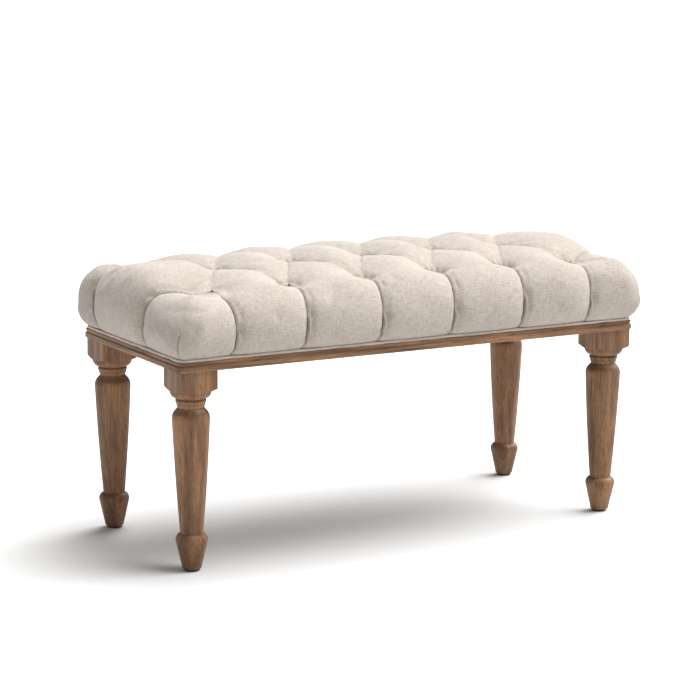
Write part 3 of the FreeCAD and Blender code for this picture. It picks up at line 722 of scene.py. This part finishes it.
def settle(cushion, form, step):
    """(a, b, movement) of the cover after it has settled as cloth over its filling.

    A coarse copy of the cover is held at its folds, tufts and tucked edge, blown out a
    little by pressure from inside for twenty frames, and how far each of its points
    moved, cut off at the settling limit, is read back."""
    frames, levels = 20, 20
    a, b = sheet_grid(form, step)
    points, hold, _ = cover_points(cushion, form, a, b)
    below_bulge = form.down(a, b) - form.profile.bulge_along
    hold = np.maximum(hold, smooth_between(0.02, 0.045, below_bulge))
    cloth = laid_cloth("settling_cloth", points)
    group = cloth.vertex_groups.new(name="held")
    held = np.round(hold.ravel() * levels).astype(int)
    for level in range(1, levels + 1):
        members = np.nonzero(held == level)[0].tolist()
        if members:
            group.add(members, level / levels, "REPLACE")
    modifier = cloth.modifiers.new("cloth", "CLOTH")
    settings = modifier.settings
    settings.quality = 5
    settings.mass = 0.3
    settings.tension_stiffness = 12.0
    settings.compression_stiffness = 4.0
    settings.shear_stiffness = 4.0
    settings.bending_stiffness = 2.0
    settings.vertex_group_mass = "held"
    settings.pin_stiffness = 1.0
    settings.shrink_min = -0.006
    settings.use_pressure = True
    settings.uniform_pressure_force = 4.0
    settings.effector_weights.gravity = 0.0
    modifier.collision_settings.use_collision = False
    modifier.point_cache.frame_start = 1
    modifier.point_cache.frame_end = frames
    scene = bpy.context.scene
    for number in range(1, frames + 1):
        scene.frame_set(number)
    seen = cloth.evaluated_get(bpy.context.evaluated_depsgraph_get())
    moved = np.empty(points.size, dtype=np.float32)
    seen.data.vertices.foreach_get("co", moved)
    movement = moved.reshape(points.shape) - points
    far = np.linalg.norm(movement, axis=-1, keepdims=True)
    movement *= np.minimum(1.0, cushion.settle_limit / np.maximum(far, 1e-9))
    scene.frame_set(1)
    mesh = cloth.data
    bpy.data.objects.remove(cloth)
    bpy.data.meshes.remove(mesh)
    return a[:, 0], b[0, :], movement


def between(grid_a, grid_b, values, a, b):
    """Values known on one grid read at the points of another, straight between them."""
    at_a = np.interp(a[:, 0], grid_a, np.arange(len(grid_a)))
    at_b = np.interp(b[0, :], grid_b, np.arange(len(grid_b)))
    low_a = np.minimum(at_a.astype(int), len(grid_a) - 2)
    low_b = np.minimum(at_b.astype(int), len(grid_b) - 2)
    part_a = (at_a - low_a)[:, None, None]
    part_b = (at_b - low_b)[None, :, None]
    across = [
        values[row][:, low_b] * (1 - part_b) + values[row][:, low_b + 1] * part_b
        for row in (low_a, low_a + 1)
    ]
    return across[0] * (1 - part_a) + across[1] * part_a


def swept_tube(path, radius, around):
    """(points, faces, texture places of the faces' corners, length) of a closed tube: a
    ring of points carried along a closed path, each ring square to it. The radius may
    change along the path."""
    count = len(path)
    ahead = np.roll(path, -1, axis=0) - np.roll(path, 1, axis=0)
    ahead /= np.linalg.norm(ahead, axis=1)[:, None]
    out = np.stack([ahead[:, 1], -ahead[:, 0], np.zeros(count)], axis=1)
    out /= np.linalg.norm(out, axis=1)[:, None]
    up = np.array([0.0, 0.0, 1.0])
    turn = np.linspace(0.0, 2.0 * math.pi, around, endpoint=False)
    size = np.broadcast_to(radius, (count,))[:, None, None]
    ring = np.cos(turn)[None, :, None] * out[:, None, :] + np.sin(turn)[None, :, None] * up
    points = (path[:, None, :] + size * ring).reshape(-1, 3)
    number = np.arange(count * around).reshape(count, around)
    after = np.roll(number, -1, axis=0)
    quads = [number, after, np.roll(after, -1, axis=1), np.roll(number, -1, axis=1)]
    faces = np.stack(quads, axis=-1).reshape(-1, 4)
    lengths = np.linalg.norm(np.roll(path, -1, axis=0) - path, axis=1)
    along = np.concatenate([[0.0], np.cumsum(lengths)])
    girth = 2.0 * math.pi * float(np.mean(radius))
    step = np.arange(count)[:, None] + np.array([0, 1, 1, 0])[None, :]
    part = np.arange(around)[:, None] + np.array([0, 0, 1, 1])[None, :]
    u = np.broadcast_to(along[step][:, None, :], (count, around, 4))
    v = np.broadcast_to((part / around * girth)[None, :, :], (count, around, 4))
    return points, faces, np.stack([u, v], axis=-1).reshape(-1, 2) / along[-1], along[-1]


def rounded_path(half_x, half_y, corner, height, step):
    """Points evenly spaced round a rectangle with rounded corners, counterclockwise."""
    quarter = np.linspace(0.0, math.pi / 2.0, 16)
    line = []
    for turn, sx, sy in ((0, 1, 1), (1, -1, 1), (2, -1, -1), (3, 1, -1)):
        angle = quarter + turn * math.pi / 2.0
        x = sx * (half_x - corner) + corner * np.cos(angle)
        y = sy * (half_y - corner) + corner * np.sin(angle)
        line.append(np.stack([x, y], axis=1))
    line = np.concatenate(line + [line[0][:1]])
    along = np.concatenate([[0.0], np.cumsum(np.hypot(*np.diff(line, axis=0).T))])
    places = np.linspace(0.0, along[-1], int(along[-1] / step), endpoint=False)
    x = np.interp(places, along, line[:, 0])
    y = np.interp(places, along, line[:, 1])
    return np.stack([x, y, np.full(len(x), height)], axis=1)


# Finishes

class Finish:
    """A node material and short ways to add and join its nodes."""

    def __init__(self, name, **constants):
        self.material = bpy.data.materials.new(name)
        self.material.use_nodes = True
        self.tree = self.material.node_tree
        self.tree.nodes.clear()
        self.output = self.node("ShaderNodeOutputMaterial")
        self.shader = self.node("ShaderNodeBsdfPrincipled")
        self.join(self.shader, "BSDF", self.output, "Surface")
        for socket, value in constants.items():
            self.shader.inputs[socket.replace("_", " ")].default_value = value

    def node(self, kind, values=None, **settings):
        """A new node with the given values of its sockets and the given settings."""
        made = self.tree.nodes.new(kind)
        for key, value in settings.items():
            setattr(made, key, value)
        for socket, value in (values or {}).items():
            made.inputs[socket].default_value = value
        return made

    def join(self, source, output, target, socket):
        """Joins an output of one node to a socket of another."""
        self.tree.links.new(source.outputs[output], target.inputs[socket])

    def feed(self, node, values):
        """Gives sockets of a node a number or a colour, or joins a (node, output) to them."""
        for socket, value in values.items():
            if isinstance(value, tuple) and len(value) == 2:
                self.join(*value, node, socket)
            else:
                node.inputs[socket].default_value = value

    def places(self, kind, scale=(1.0, 1.0, 1.0), shift=(0.0, 0.0, 0.0)):
        """Object or UV coordinates, scaled and shifted."""
        mapping = self.node("ShaderNodeMapping", {"Scale": scale, "Location": shift})
        self.join(self.node("ShaderNodeTexCoord"), kind, mapping, "Vector")
        return mapping

    def noise(self, mapping, scale, detail=3.0, rough=0.55):
        """Noise at mapped places."""
        values = {"Scale": scale, "Detail": detail, "Roughness": rough}
        made = self.node("ShaderNodeTexNoise", values)
        self.join(mapping, "Vector", made, "Vector")
        return made

    def waves(self, mapping, values, **settings):
        """Waves at mapped places."""
        made = self.node("ShaderNodeTexWave", values, **settings)
        self.join(mapping, "Vector", made, "Vector")
        return made

    def ramp(self, source, output, stops):
        """A colour by a value, from stops of (value, colour)."""
        made = self.node("ShaderNodeValToRGB")
        elements = made.color_ramp.elements
        while len(elements) < len(stops):
            elements.new(0.5)
        for element, (place, colour) in zip(elements, stops):
            element.position = place
            element.color = colour if len(colour) == 4 else (*colour, 1.0)
        self.join(source, output, made, "Fac")
        return made

    def grey_ramp(self, source, output, stops):
        """The same for stops of (value, lightness)."""
        return self.ramp(source, output, [(p, (g, g, g, 1.0)) for p, g in stops])

    def mix(self, factor, first, second, kind="MIX"):
        """Mixes two colours. Each of the three is a number, a colour or (node, output)."""
        made = self.node("ShaderNodeMix", data_type="RGBA", blend_type=kind)
        self.feed(made, {0: factor, 6: first, 7: second})
        return made

    def times(self, first, second):
        """The product of two colours."""
        return self.mix(1.0, first, second, "MULTIPLY")

    def sum(self, first, second, kind="ADD"):
        """Adds, or otherwise joins, two values, each a number or (node, output)."""
        made = self.node("ShaderNodeMath", operation=kind)
        self.feed(made, {0: first, 1: second})
        return made

    def bump(self, source, output, strength, distance):
        """A relief of the whole finish, from a height."""
        made = self.node("ShaderNodeBump", {"Strength": strength, "Distance": distance})
        self.join(source, output, made, "Height")
        self.join(made, "Normal", self.shader, "Normal")


def woven_linen(name, finish, size, lightness=1.0):
    """Slubby linen on a piece's own cloth map: two sets of threads, each a wave across with noise drawn
    out along it for slubs, over an uneven dye, with painted shade that darkens the folds and tuft cups
    by the fold_shade attribute."""
    pitch = finish.thread_pitch
    slub_width, slub_length = 1.9 * pitch, 13.0 * pitch
    # Painted shade: the near black brown that the linen is darkened towards down in the folds.
    painted_fold_shade_colour = (0.05, 0.036, 0.026, 1.0)
    # Painted light: lightness makes both linen colours lighter. The piping gets 1.14 to brighten it
    # against the shade it sits in under the cushion.
    light = [min(1.0, lightness * part) for part in finish.linen_light]
    dark = [min(1.0, lightness * part) for part in finish.linen_dark]
    cloth = Finish(name, Roughness=0.92, Sheen_Weight=0.25, Sheen_Roughness=0.5)
    cloth.shader.inputs["Specular IOR Level"].default_value = 0.18
    metres = cloth.places("UV", (size, size, 1.0))
    wavy = {
        "Scale": 2.0 * math.pi / (20.0 * pitch),
        "Distortion": 1.6,
        "Detail": 1.0,
        "Detail Scale": 0.35,
    }
    threads = []
    for direction in ("X", "Y"):
        wave = cloth.waves(metres, wavy, bands_direction=direction, wave_profile="SIN")
        drawn_out = (slub_width, slub_length) if direction == "X" else (slub_length, slub_width)
        drawn = cloth.places("UV", (size / drawn_out[0], size / drawn_out[1], 1.0))
        threads.append((wave, cloth.noise(drawn, 1.0, detail=2.0, rough=0.6)))
    (warp, warp_slub), (weft, weft_slub) = threads
    thread = cloth.sum((warp, "Fac"), (weft, "Fac"), "MULTIPLY")
    slubs = cloth.sum((warp_slub, "Fac"), (weft_slub, "Fac"), "ADD")
    tone = cloth.sum((slubs, 0), 0.5, "MULTIPLY")
    uneven_dye = cloth.noise(metres, 9.0, detail=2.0)
    colour = cloth.ramp(
        tone,
        0,
        [
            (0.36, tuple(dark)),
            (0.47, tuple(0.5 * (d + l) for d, l in zip(dark, light))),
            (0.54, tuple(light)),
            (0.66, tuple(min(1.0, 1.08 * part) for part in light)),
        ],
    )
    gaps = cloth.grey_ramp(thread, 0, [(0.0, 0.74), (0.35, 1.0)])
    woven = cloth.times((colour, "Color"), (gaps, "Color"))
    dye = cloth.grey_ramp(uneven_dye, "Fac", [(0.3, 0.94), (0.7, 1.03)])
    dyed = cloth.times((woven, 2), (dye, "Color"))
    # Painted shade: the fold_shade attribute mixes the linen towards near black in the folds, pleats,
    # darts and tuft cups.
    shade = cloth.node("ShaderNodeAttribute", attribute_name="fold_shade")
    shaded = cloth.mix((shade, "Fac"), (dyed, 2), painted_fold_shade_colour)
    cloth.join(shaded, 2, cloth.shader, "Base Color")
    height = cloth.sum((thread, 0), (tone, 0), "ADD")
    cloth.bump(height, 0, 0.75, 0.0006)
    return cloth.material


def oak(name, finish, grain, seed, dark_bands=()):
    """Stained oak with its grain along one axis: wide growth rings bent by noise, fine
    fibres, short dark pores and a few long cracks, and stain gathered in given bands of
    height on a turned leg."""
    banded_height = 0.36
    stain = tuple(finish.oak_stain)
    wood = Finish(name, Roughness=0.5)
    wood.shader.inputs["Specular IOR Level"].default_value = 0.35
    shift = (0.37 * seed, 0.61 * seed, 0.23 * seed)

    def stretched(along):
        """The piece's own places, drawn out along the grain."""
        return wood.places(
            "Object", tuple(along if axis == grain else 1.0 for axis in "xyz"), shift=shift
        )

    bent = {
        "Scale": 15.0,
        "Distortion": 10.0,
        "Detail": 3.0,
        "Detail Scale": 1.6,
        "Detail Roughness": 0.6,
    }
    rings = wood.waves(stretched(0.09), bent, wave_type="BANDS", bands_direction="DIAGONAL")
    fibre = wood.noise(stretched(0.025), 420.0, detail=3.0, rough=0.65)
    pores = wood.noise(stretched(0.045), 900.0, 1.0)
    cloudy = wood.noise(stretched(0.3), 14.0, 3.0)
    ring_tone = wood.ramp(
        rings,
        "Fac",
        [
            (0.0, tuple(finish.oak_dark)),
            (0.35, tuple(0.55 * d + 0.45 * l for d, l in zip(finish.oak_dark, finish.oak_light))),
            (0.75, tuple(finish.oak_light)),
            (1.0, tuple(1.05 * l for l in finish.oak_light)),
        ],
    )
    fibre_tone = wood.grey_ramp(fibre, "Fac", [(0.3, 0.62), (0.5, 0.95), (0.7, 1.2)])
    figured = wood.times((ring_tone, "Color"), (fibre_tone, "Color"))
    cloud_tone = wood.grey_ramp(cloudy, "Fac", [(0.3, 0.76), (0.7, 1.16)])
    shaded = wood.times((figured, 2), (cloud_tone, "Color"))
    pore_mask = wood.grey_ramp(pores, "Fac", [(0.28, 1.0), (0.37, 0.0)])
    surface_colour = wood.mix((pore_mask, "Color"), (shaded, 2), stain)
    cracks = wood.noise(stretched(0.05), 60.0, 2.0, 0.5)
    crack_mask = wood.grey_ramp(cracks, "Fac", [(0.27, 0.75), (0.30, 0.0)])
    surface_colour = wood.mix((crack_mask, "Color"), (surface_colour, 2), stain)
    if dark_bands:
        heights = wood.node("ShaderNodeSeparateXYZ")
        wood.join(wood.node("ShaderNodeTexCoord"), "Object", heights, "Vector")
        wobble = wood.noise(wood.places("Object"), 160.0, 2.0)
        nudged = wood.sum((wobble, "Fac"), 0.003, "MULTIPLY")
        level = wood.sum((heights, "Z"), (nudged, 0), "ADD")
        mapped = wood.node("ShaderNodeMapRange", {"From Min": 0.0, "From Max": banded_height})
        wood.join(level, 0, mapped, "Value")
        stops = [(0.0, 0.0)]
        for low, high, amount in dark_bands:
            for height, stained in ((low, 0.0), (0.5 * (low + high), amount), (high, 0.0)):
                stops.append((height / banded_height, stained))
        band = wood.grey_ramp(mapped, "Result", stops)
        surface_colour = wood.mix((band, "Color"), (surface_colour, 2), stain)
    wood.join(surface_colour, 2, wood.shader, "Base Color")
    gloss = wood.grey_ramp(fibre, "Fac", [(0.3, 0.62), (0.7, 0.46)])
    wood.join(gloss, "Color", wood.shader, "Roughness")
    relief = wood.sum((fibre, "Fac"), (pore_mask, "Color"), "SUBTRACT")
    wood.bump(relief, 0, 0.35, 0.0006)
    return wood.material


def speckled(name, light, dark, scale, rough, bump=0.0, stretch=(1.0, 1.0, 1.0), metal=0.0):
    """A plain stuff with a mottled colour, an uneven gloss and a slight relief, all from
    noise on the piece's own place."""
    stuff = Finish(name, Metallic=metal)
    places = stuff.places("Object", stretch)
    grain = stuff.noise(places, scale, 4.0, 0.6)
    colour = stuff.ramp(grain, "Fac", [(0.3, light), (0.7, dark)])
    stuff.join(colour, "Color", stuff.shader, "Base Color")
    gloss = stuff.grey_ramp(grain, "Fac", [(0.3, rough * 0.85), (0.7, min(1.0, rough * 1.15))])
    stuff.join(gloss, "Color", stuff.shader, "Roughness")
    if bump:
        stuff.bump(grain, "Fac", 0.5, bump)
    return stuff.material


def plywood(name):
    """Birch plywood: thin plies, alternately along and across, told apart by height, with
    a fine grain."""
    sheet = Finish(name, Roughness=0.7)
    thin = {"Scale": 105.0, "Distortion": 0.4}
    plies = sheet.waves(sheet.places("Object"), thin, bands_direction="Z", wave_profile="SIN")
    grain = sheet.noise(sheet.places("Object", (0.06, 1.0, 1.0)), 260.0, 3.0, 0.6)
    ply_tone = sheet.ramp(
        plies, "Fac", [(0.3, (0.42, 0.29, 0.17, 1.0)), (0.7, (0.62, 0.47, 0.30, 1.0))]
    )
    grain_tone = sheet.grey_ramp(grain, "Fac", [(0.3, 0.8), (0.7, 1.08)])
    both = sheet.times((ply_tone, "Color"), (grain_tone, "Color"))
    sheet.join(both, 2, sheet.shader, "Base Color")
    sheet.bump(grain, "Fac", 0.25, 0.0004)
    return sheet.material


def black_weave(name, size):
    """Thin black lining cloth on its own cloth map: a fine plain weave."""
    cloth = Finish(name, Roughness=0.9, Sheen_Weight=0.15)
    metres = cloth.places("UV", (size, size, 1.0))
    fine = {"Scale": 320.0, "Distortion": 0.6}
    warp, weft = (cloth.waves(metres, fine, bands_direction=way) for way in ("X", "Y"))
    thread = cloth.sum((warp, "Fac"), (weft, "Fac"), "MULTIPLY")
    colour = cloth.ramp(
        thread, 0, [(0.0, (0.006, 0.006, 0.006, 1.0)), (0.8, (0.035, 0.034, 0.033, 1.0))]
    )
    cloth.join(colour, "Color", cloth.shader, "Base Color")
    cloth.bump(thread, 0, 0.4, 0.0004)
    return cloth.material


def paint(name, material):
    """Gives a CAD node its finish."""
    node = nodes[name]
    if not node.material_slots:
        node.data.materials.append(None)
    for slot in node.material_slots:
        slot.link = "OBJECT"
        slot.material = material


def settings():
    """The settings of the cushion, the finishes and the stage."""
    scene = bpy.context.scene
    return scene.bench_cushion, scene.bench_finish, scene.bench_stage


# Makers

class BENCH_OT_dress_cushion(bpy.types.Operator):
    """Lays the tufted linen cover over the cushion, with its folds, pleats and darts"""

    bl_idname = "bench.dress_cushion"
    bl_label = "Linen cover"

    def execute(self, context):
        cushion, finish, _ = settings()
        form = cover_form(cushion)
        quick_step, settling_step = 0.003, 0.006
        a, b = sheet_grid(form, cushion.mesh_step)
        points, _, shade = cover_points(cushion, form, a, b)
        points = points + between(*settle(cushion, form, settling_step), a, b)
        rest_under_knots(cushion, points)
        uv, size = sheet_uv(form, a, b)
        cover = laid_cloth("cover", points, uv)
        # Painted shade of the folds, pleats, darts and tuft cups, which darkens the linen's colour.
        shades = cover.data.attributes.new("fold_shade", "FLOAT", "POINT")
        shades.data.foreach_set("value", shade.ravel().astype(np.float32))
        cover.data.materials.append(woven_linen("linen", finish, size))
        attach(cover, "root")
        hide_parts("seat_cover")
        return {"FINISHED"}


class BENCH_OT_fill_cushion(bpy.types.Operator):
    """Builds the wadding and the foam core under the cover"""

    bl_idname = "bench.fill_cushion"
    bl_label = "Wadding and foam"

    def execute(self, context):
        cushion, _, _ = settings()
        wadding_step, foam_step = 0.007, 0.01
        form = cover_form(cushion)
        a, b = sheet_grid(form, wadding_step)
        depth = draw_in(cushion, form, a, b)[0]
        points, normals = form.at(a, b)
        under_cover, more_in_folds, clear_of_deck = 0.009, 0.003, 0.0004
        inset = under_cover + more_in_folds * smooth_between(0.01, 0.02, depth)
        points = points - normals * (depth + inset)[..., None]
        points[..., 2] = np.maximum(points[..., 2], deck_high[2] + clear_of_deck)
        wadding = laid_cloth("wadding_layer", points, sheet_uv(form, a, b)[0])
        fibre = speckled(
            "fibre", (0.86, 0.86, 0.84, 1.0), (0.72, 0.72, 0.70, 1.0), 320.0, 0.95, 0.0015
        )
        wadding.data.materials.append(fibre)
        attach(wadding, "root")
        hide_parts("wadding")
        round_over = 0.028
        base = foam_low[2]
        profile = SideProfile(
            round_over,
            foam_high[2],
            foam_high[2] - round_over,
            0.002,
            base + 0.006,
            [(0.0, base), (-0.02, base)],
            power=2.0,
        )
        corners = ([0.0, profile.bulge_along, profile.length], [0.001, 0.028, 0.014])
        block = CushionForm(foam_high[0] - round_over, foam_high[1] - round_over, profile, corners)
        a, b = sheet_grid(block, foam_step)
        points, normals = block.at(a, b)
        dent_depth, dent_width = 0.003, 0.02
        dent = np.zeros(a.shape)
        for x, y in sum(tuft_places(cushion), []):
            dent += dent_depth * bell(np.hypot(a - x, b - y), dent_width)
        foam = laid_cloth("foam_block", points - normals * dent[..., None])
        foam.data.materials.append(
            speckled("foam", (0.80, 0.74, 0.55, 1.0), (0.66, 0.60, 0.42, 1.0), 900.0, 0.9, 0.0008)
        )
        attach(foam, "root")
        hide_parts("foam_core")
        return {"FINISHED"}


class BENCH_OT_sew_piping(bpy.types.Operator):
    """Runs the self-covered piping round the top edge of the oak"""

    bl_idname = "bench.sew_piping"
    bl_label = "Piping"

    def execute(self, context):
        _, finish, _ = settings()
        radius = 0.5 * (piping_high[2] - piping_low[2])
        half_x = piping_high[0] - radius
        half_y = piping_high[1] - radius
        corner, step, unevenness = 0.011, 0.002, 0.0009
        path = rounded_path(half_x, half_y, corner, piping_low[2] + radius, step)
        along = np.arange(len(path)) * step
        total = len(path) * step
        wave = sum(
            size * np.sin(2.0 * math.pi * turns * along / total + phase)
            for size, turns, phase in ((0.32, 23, 0.3), (0.24, 41, 1.9), (0.14, 97, 4.0))
        )
        path[:, 2] += unevenness * np.maximum(wave, -0.25)
        fat = 1.1 * radius * (1.0 + 0.05 * np.sin(2.0 * math.pi * 61 * along / total))
        points, faces, uv, length = swept_tube(path, fat, 14)
        piping = surface("piping_trim", points, faces)
        layer = piping.data.uv_layers.new(name="cloth")
        layer.data.foreach_set("uv", uv.astype(np.float32).ravel())
        # Painted light: the piping's linen is 1.14 times lighter than the cover's, making up for the
        # shade under the cushion's overhang.
        piping.data.materials.append(woven_linen("piping_linen_painted_light", finish, float(length), 1.14))
        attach(piping, "root")
        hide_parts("piping")
        return {"FINISHED"}


class BENCH_OT_hang_dust_cover(bpy.types.Operator):
    """Stretches the black dust cover under the seat, cut round the legs"""

    bl_idname = "bench.hang_dust_cover"
    bl_label = "Dust cover"

    def execute(self, context):
        half_x, half_y = dust_high[0], dust_high[1]
        off_leg, belly, below_seat = 0.003, 0.0028, 0.0004
        gather_height, gather_reach = 0.0002, 0.02
        notch_x = abs(leg_high[0]) - off_leg
        notch_y = abs(leg_high[1]) - off_leg
        x = np.concatenate([[-half_x], np.linspace(-notch_x, notch_x, 150), [half_x]])
        y = np.concatenate([[-half_y], np.linspace(-notch_y, notch_y, 60), [half_y]])
        x, y = np.meshgrid(x, y, indexing="ij")
        away = (1.0 - (x / half_x) ** 2) * (1.0 - (y / half_y) ** 2)
        edge = np.minimum(half_x - np.abs(x), half_y - np.abs(y))
        gather = np.sin(x / 0.009) * np.sin(y / 0.011)
        z = dust_high[2] - below_seat - belly * np.clip(away, 0.0, 1.0)
        fading = bell(edge, gather_reach, 1) * smooth_between(0.012, 0.02, edge)
        z += gather_height * gather * fading
        faces = grid_faces(*x.shape)[:, ::-1]
        points = np.stack([x, y, z], axis=-1).reshape(-1, 3)
        middle = points[faces].mean(axis=1)
        cut = (np.abs(middle[:, 0]) > notch_x) & (np.abs(middle[:, 1]) > notch_y)
        size = 2.0 * half_x
        uv = (points[:, :2] + [half_x, half_y]) / size
        cloth = surface("dust_lining", points, faces[~cut], uv)
        thick = cloth.modifiers.new("thickness", "SOLIDIFY")
        thick.thickness = 0.0005
        thick.offset = 0.0
        cloth.data.materials.append(black_weave("black_cloth", size))
        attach(cloth, "root")
        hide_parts("dust_cover")
        return {"FINISHED"}


class BENCH_OT_finish_oak(bpy.types.Operator):
    """Gives the turned legs and the surround their stained oak"""

    bl_idname = "bench.finish_oak"
    bl_label = "Oak"

    def execute(self, context):
        _, finish, _ = settings()
        # Lower and upper height of each turned groove and how much stain is in it
        grooves = (
            (0.262, 0.271, 0.55),
            (0.271, 0.277, 0.35),
            (0.279, 0.283, 0.5),
            (0.285, 0.2915, 0.6),
            (0.297, 0.302, 0.3),
        )
        legs = ("front_left_leg", "front_right_leg", "back_left_leg", "back_right_leg")
        for first, grain, bands, names in (
            (1, "z", grooves, legs),
            (6, "x", (), ("front_surround", "back_surround")),
            (8, "y", (), ("left_surround", "right_surround")),
        ):
            for number, name in enumerate(names, first):
                paint(name, oak("oak_" + name, finish, grain, number, bands))
        return {"FINISHED"}


# By the name of each finish: its light colour, dark colour, fineness, roughness, relief,
# stretch and metal, and the nodes that have it.
FITTINGS = {
    "beech": (
        ((0.62, 0.42, 0.25), (0.48, 0.31, 0.17), 260.0, 0.6, 0.0003, (1.0, 1.0, 0.08)),
        ("leg_dowels", "mitre_dowels"),
    ),
    "zinc": (
        ((0.62, 0.62, 0.60), (0.44, 0.45, 0.45), 500.0, 0.38, 0.0001, (1, 1, 1), 1.0),
        ("seat_screws", "leg_hanger_bolts", "leg_tee_nuts", "glide_nails", "dust_cover_staples"),
    ),
    "glide_plastic": (
        ((0.012, 0.012, 0.012), (0.03, 0.029, 0.028), 700.0, 0.5, 0.0002),
        ("front_left_glide", "front_right_glide", "back_left_glide", "back_right_glide"),
    ),
    "cotton": (
        ((0.78, 0.72, 0.62), (0.62, 0.56, 0.46), 1200.0, 0.95, 0.0004),
        ("piping_cord",),
    ),
    # Painted shade: the twine is as dark as the shaded linen in the tuft cups, so its knots don't show
    # there.
    "waxed_twine": (
        ((0.34, 0.28, 0.22), (0.24, 0.19, 0.14), 1500.0, 0.6, 0.0003, (1.0, 1.0, 0.4)),
        ("tufting_twines",),
    ),
    "washer_fibre": (
        ((0.30, 0.19, 0.11), (0.20, 0.12, 0.07), 600.0, 0.8, 0.0002),
        ("twine_washers",),
    ),
}


class BENCH_OT_finish_fittings(bpy.types.Operator):
    """Gives the deck, rail, dowels, bolts, screws, glides, twine and staples their finish"""

    bl_idname = "bench.finish_fittings"
    bl_label = "Deck and fittings"

    def execute(self, context):
        paint("seat_deck", plywood("plywood"))
        paint("centre_rail", plywood("rail_plywood"))
        for finish_name, (look, wearers) in FITTINGS.items():
            material = speckled(finish_name, *look)
            for name in wearers:
                paint(name, material)
        return {"FINISHED"}


class BENCH_OT_set_stage(bpy.types.Operator):
    """Sets the camera, the white floor and the soft studio light"""

    bl_idname = "bench.set_stage"
    bl_label = "Stage"

    def execute(self, context):
        _, _, stage = settings()
        scene = context.scene
        camera_data = bpy.data.cameras.new("camera")
        camera_data.lens = stage.lens
        camera_data.sensor_width = 36.0
        camera_data.sensor_fit = "HORIZONTAL"
        camera_data.clip_end = 200.0
        camera = added("camera", camera_data)
        camera_place = (-1.9308, -3.3215, 1.0131)
        yaw, pitch, roll = (math.radians(v) for v in (29.85, 10.44, 0.353))
        ahead = Vector(
            (math.sin(yaw) * math.cos(pitch), math.cos(yaw) * math.cos(pitch), -math.sin(pitch))
        )
        level = Vector((math.cos(yaw), -math.sin(yaw), 0.0))
        over = level.cross(ahead)
        right = math.cos(roll) * level + math.sin(roll) * over
        up = -math.sin(roll) * level + math.cos(roll) * over
        turn = Matrix((right, up, -ahead)).transposed().to_4x4()
        camera.matrix_world = Matrix.Translation(camera_place) @ turn
        scene.camera = camera
        half_floor = 90.0
        corners = np.array([(-1.0, -1.0, 0.0), (1.0, -1.0, 0.0), (1.0, 1.0, 0.0), (-1.0, 1.0, 0.0)])
        floor = surface("floor", half_floor * corners, np.array([[0, 1, 2, 3]]))
        white = Finish("floor_white", Roughness=0.9)
        white.shader.inputs["Base Color"].default_value = (0.72, 0.72, 0.715, 1.0)
        white.shader.inputs["Specular IOR Level"].default_value = 0.1
        floor.data.materials.append(white.material)
        sun_data = bpy.data.lights.new("main_light", "SUN")
        sun_data.energy = stage.key_strength
        sun_data.angle = stage.key_softness
        sun_data.color = (0.985, 0.99, 1.0)
        sun = added("main_light", sun_data)
        towards = Vector((0.62, 0.02, 1.0)).normalized()
        sun.matrix_world = towards.to_track_quat("Z", "Y").to_matrix().to_4x4()
        world = bpy.data.worlds.new("room")
        world.use_nodes = True
        background = world.node_tree.nodes["Background"]
        background.inputs["Color"].default_value = (1.0, 0.978, 0.948, 1.0)
        background.inputs["Strength"].default_value = stage.room_strength
        scene.world = world
        scene.view_settings.view_transform = "Standard"
        scene.view_settings.look = "None"
        return {"FINISHED"}


class BENCH_PT_tufted_bench(bpy.types.Panel):
    """Lists the settings and makers of the bench"""

    bl_idname = "BENCH_PT_tufted_bench"
    bl_label = "Tufted bench"
    bl_space_type = "VIEW_3D"
    bl_region_type = "UI"
    bl_category = "Bench"

    def draw(self, context):
        layout = self.layout
        for group in settings():
            box = layout.box()
            for name in group.__annotations__:
                box.prop(group, name)
        for maker in MAKERS:
            layout.operator(maker.bl_idname)


SETTINGS = {
    "bench_cushion": TuftedCushionSettings,
    "bench_finish": BenchFinishSettings,
    "bench_stage": BenchStageSettings,
}
MAKERS = (
    BENCH_OT_set_stage,
    BENCH_OT_dress_cushion,
    BENCH_OT_fill_cushion,
    BENCH_OT_sew_piping,
    BENCH_OT_hang_dust_cover,
    BENCH_OT_finish_oak,
    BENCH_OT_finish_fittings,
)


def register():
    for group in SETTINGS.values():
        bpy.utils.register_class(group)
    for maker in MAKERS:
        bpy.utils.register_class(maker)
    bpy.utils.register_class(BENCH_PT_tufted_bench)
    for name, group in SETTINGS.items():
        setattr(bpy.types.Scene, name, bpy.props.PointerProperty(type=group))


def unregister():
    for name in SETTINGS:
        delattr(bpy.types.Scene, name)
    bpy.utils.unregister_class(BENCH_PT_tufted_bench)
    for maker in reversed(MAKERS):
        bpy.utils.unregister_class(maker)
    for group in SETTINGS.values():
        bpy.utils.unregister_class(group)


def main():
    """Makes the whole bench and its stage."""
    register()
    bpy.ops.bench.set_stage()
    bpy.ops.bench.dress_cushion()
    bpy.ops.bench.fill_cushion()
    bpy.ops.bench.sew_piping()
    bpy.ops.bench.hang_dust_cover()
    bpy.ops.bench.finish_oak()
    bpy.ops.bench.finish_fittings()


if __name__ == "__main__":
    main()
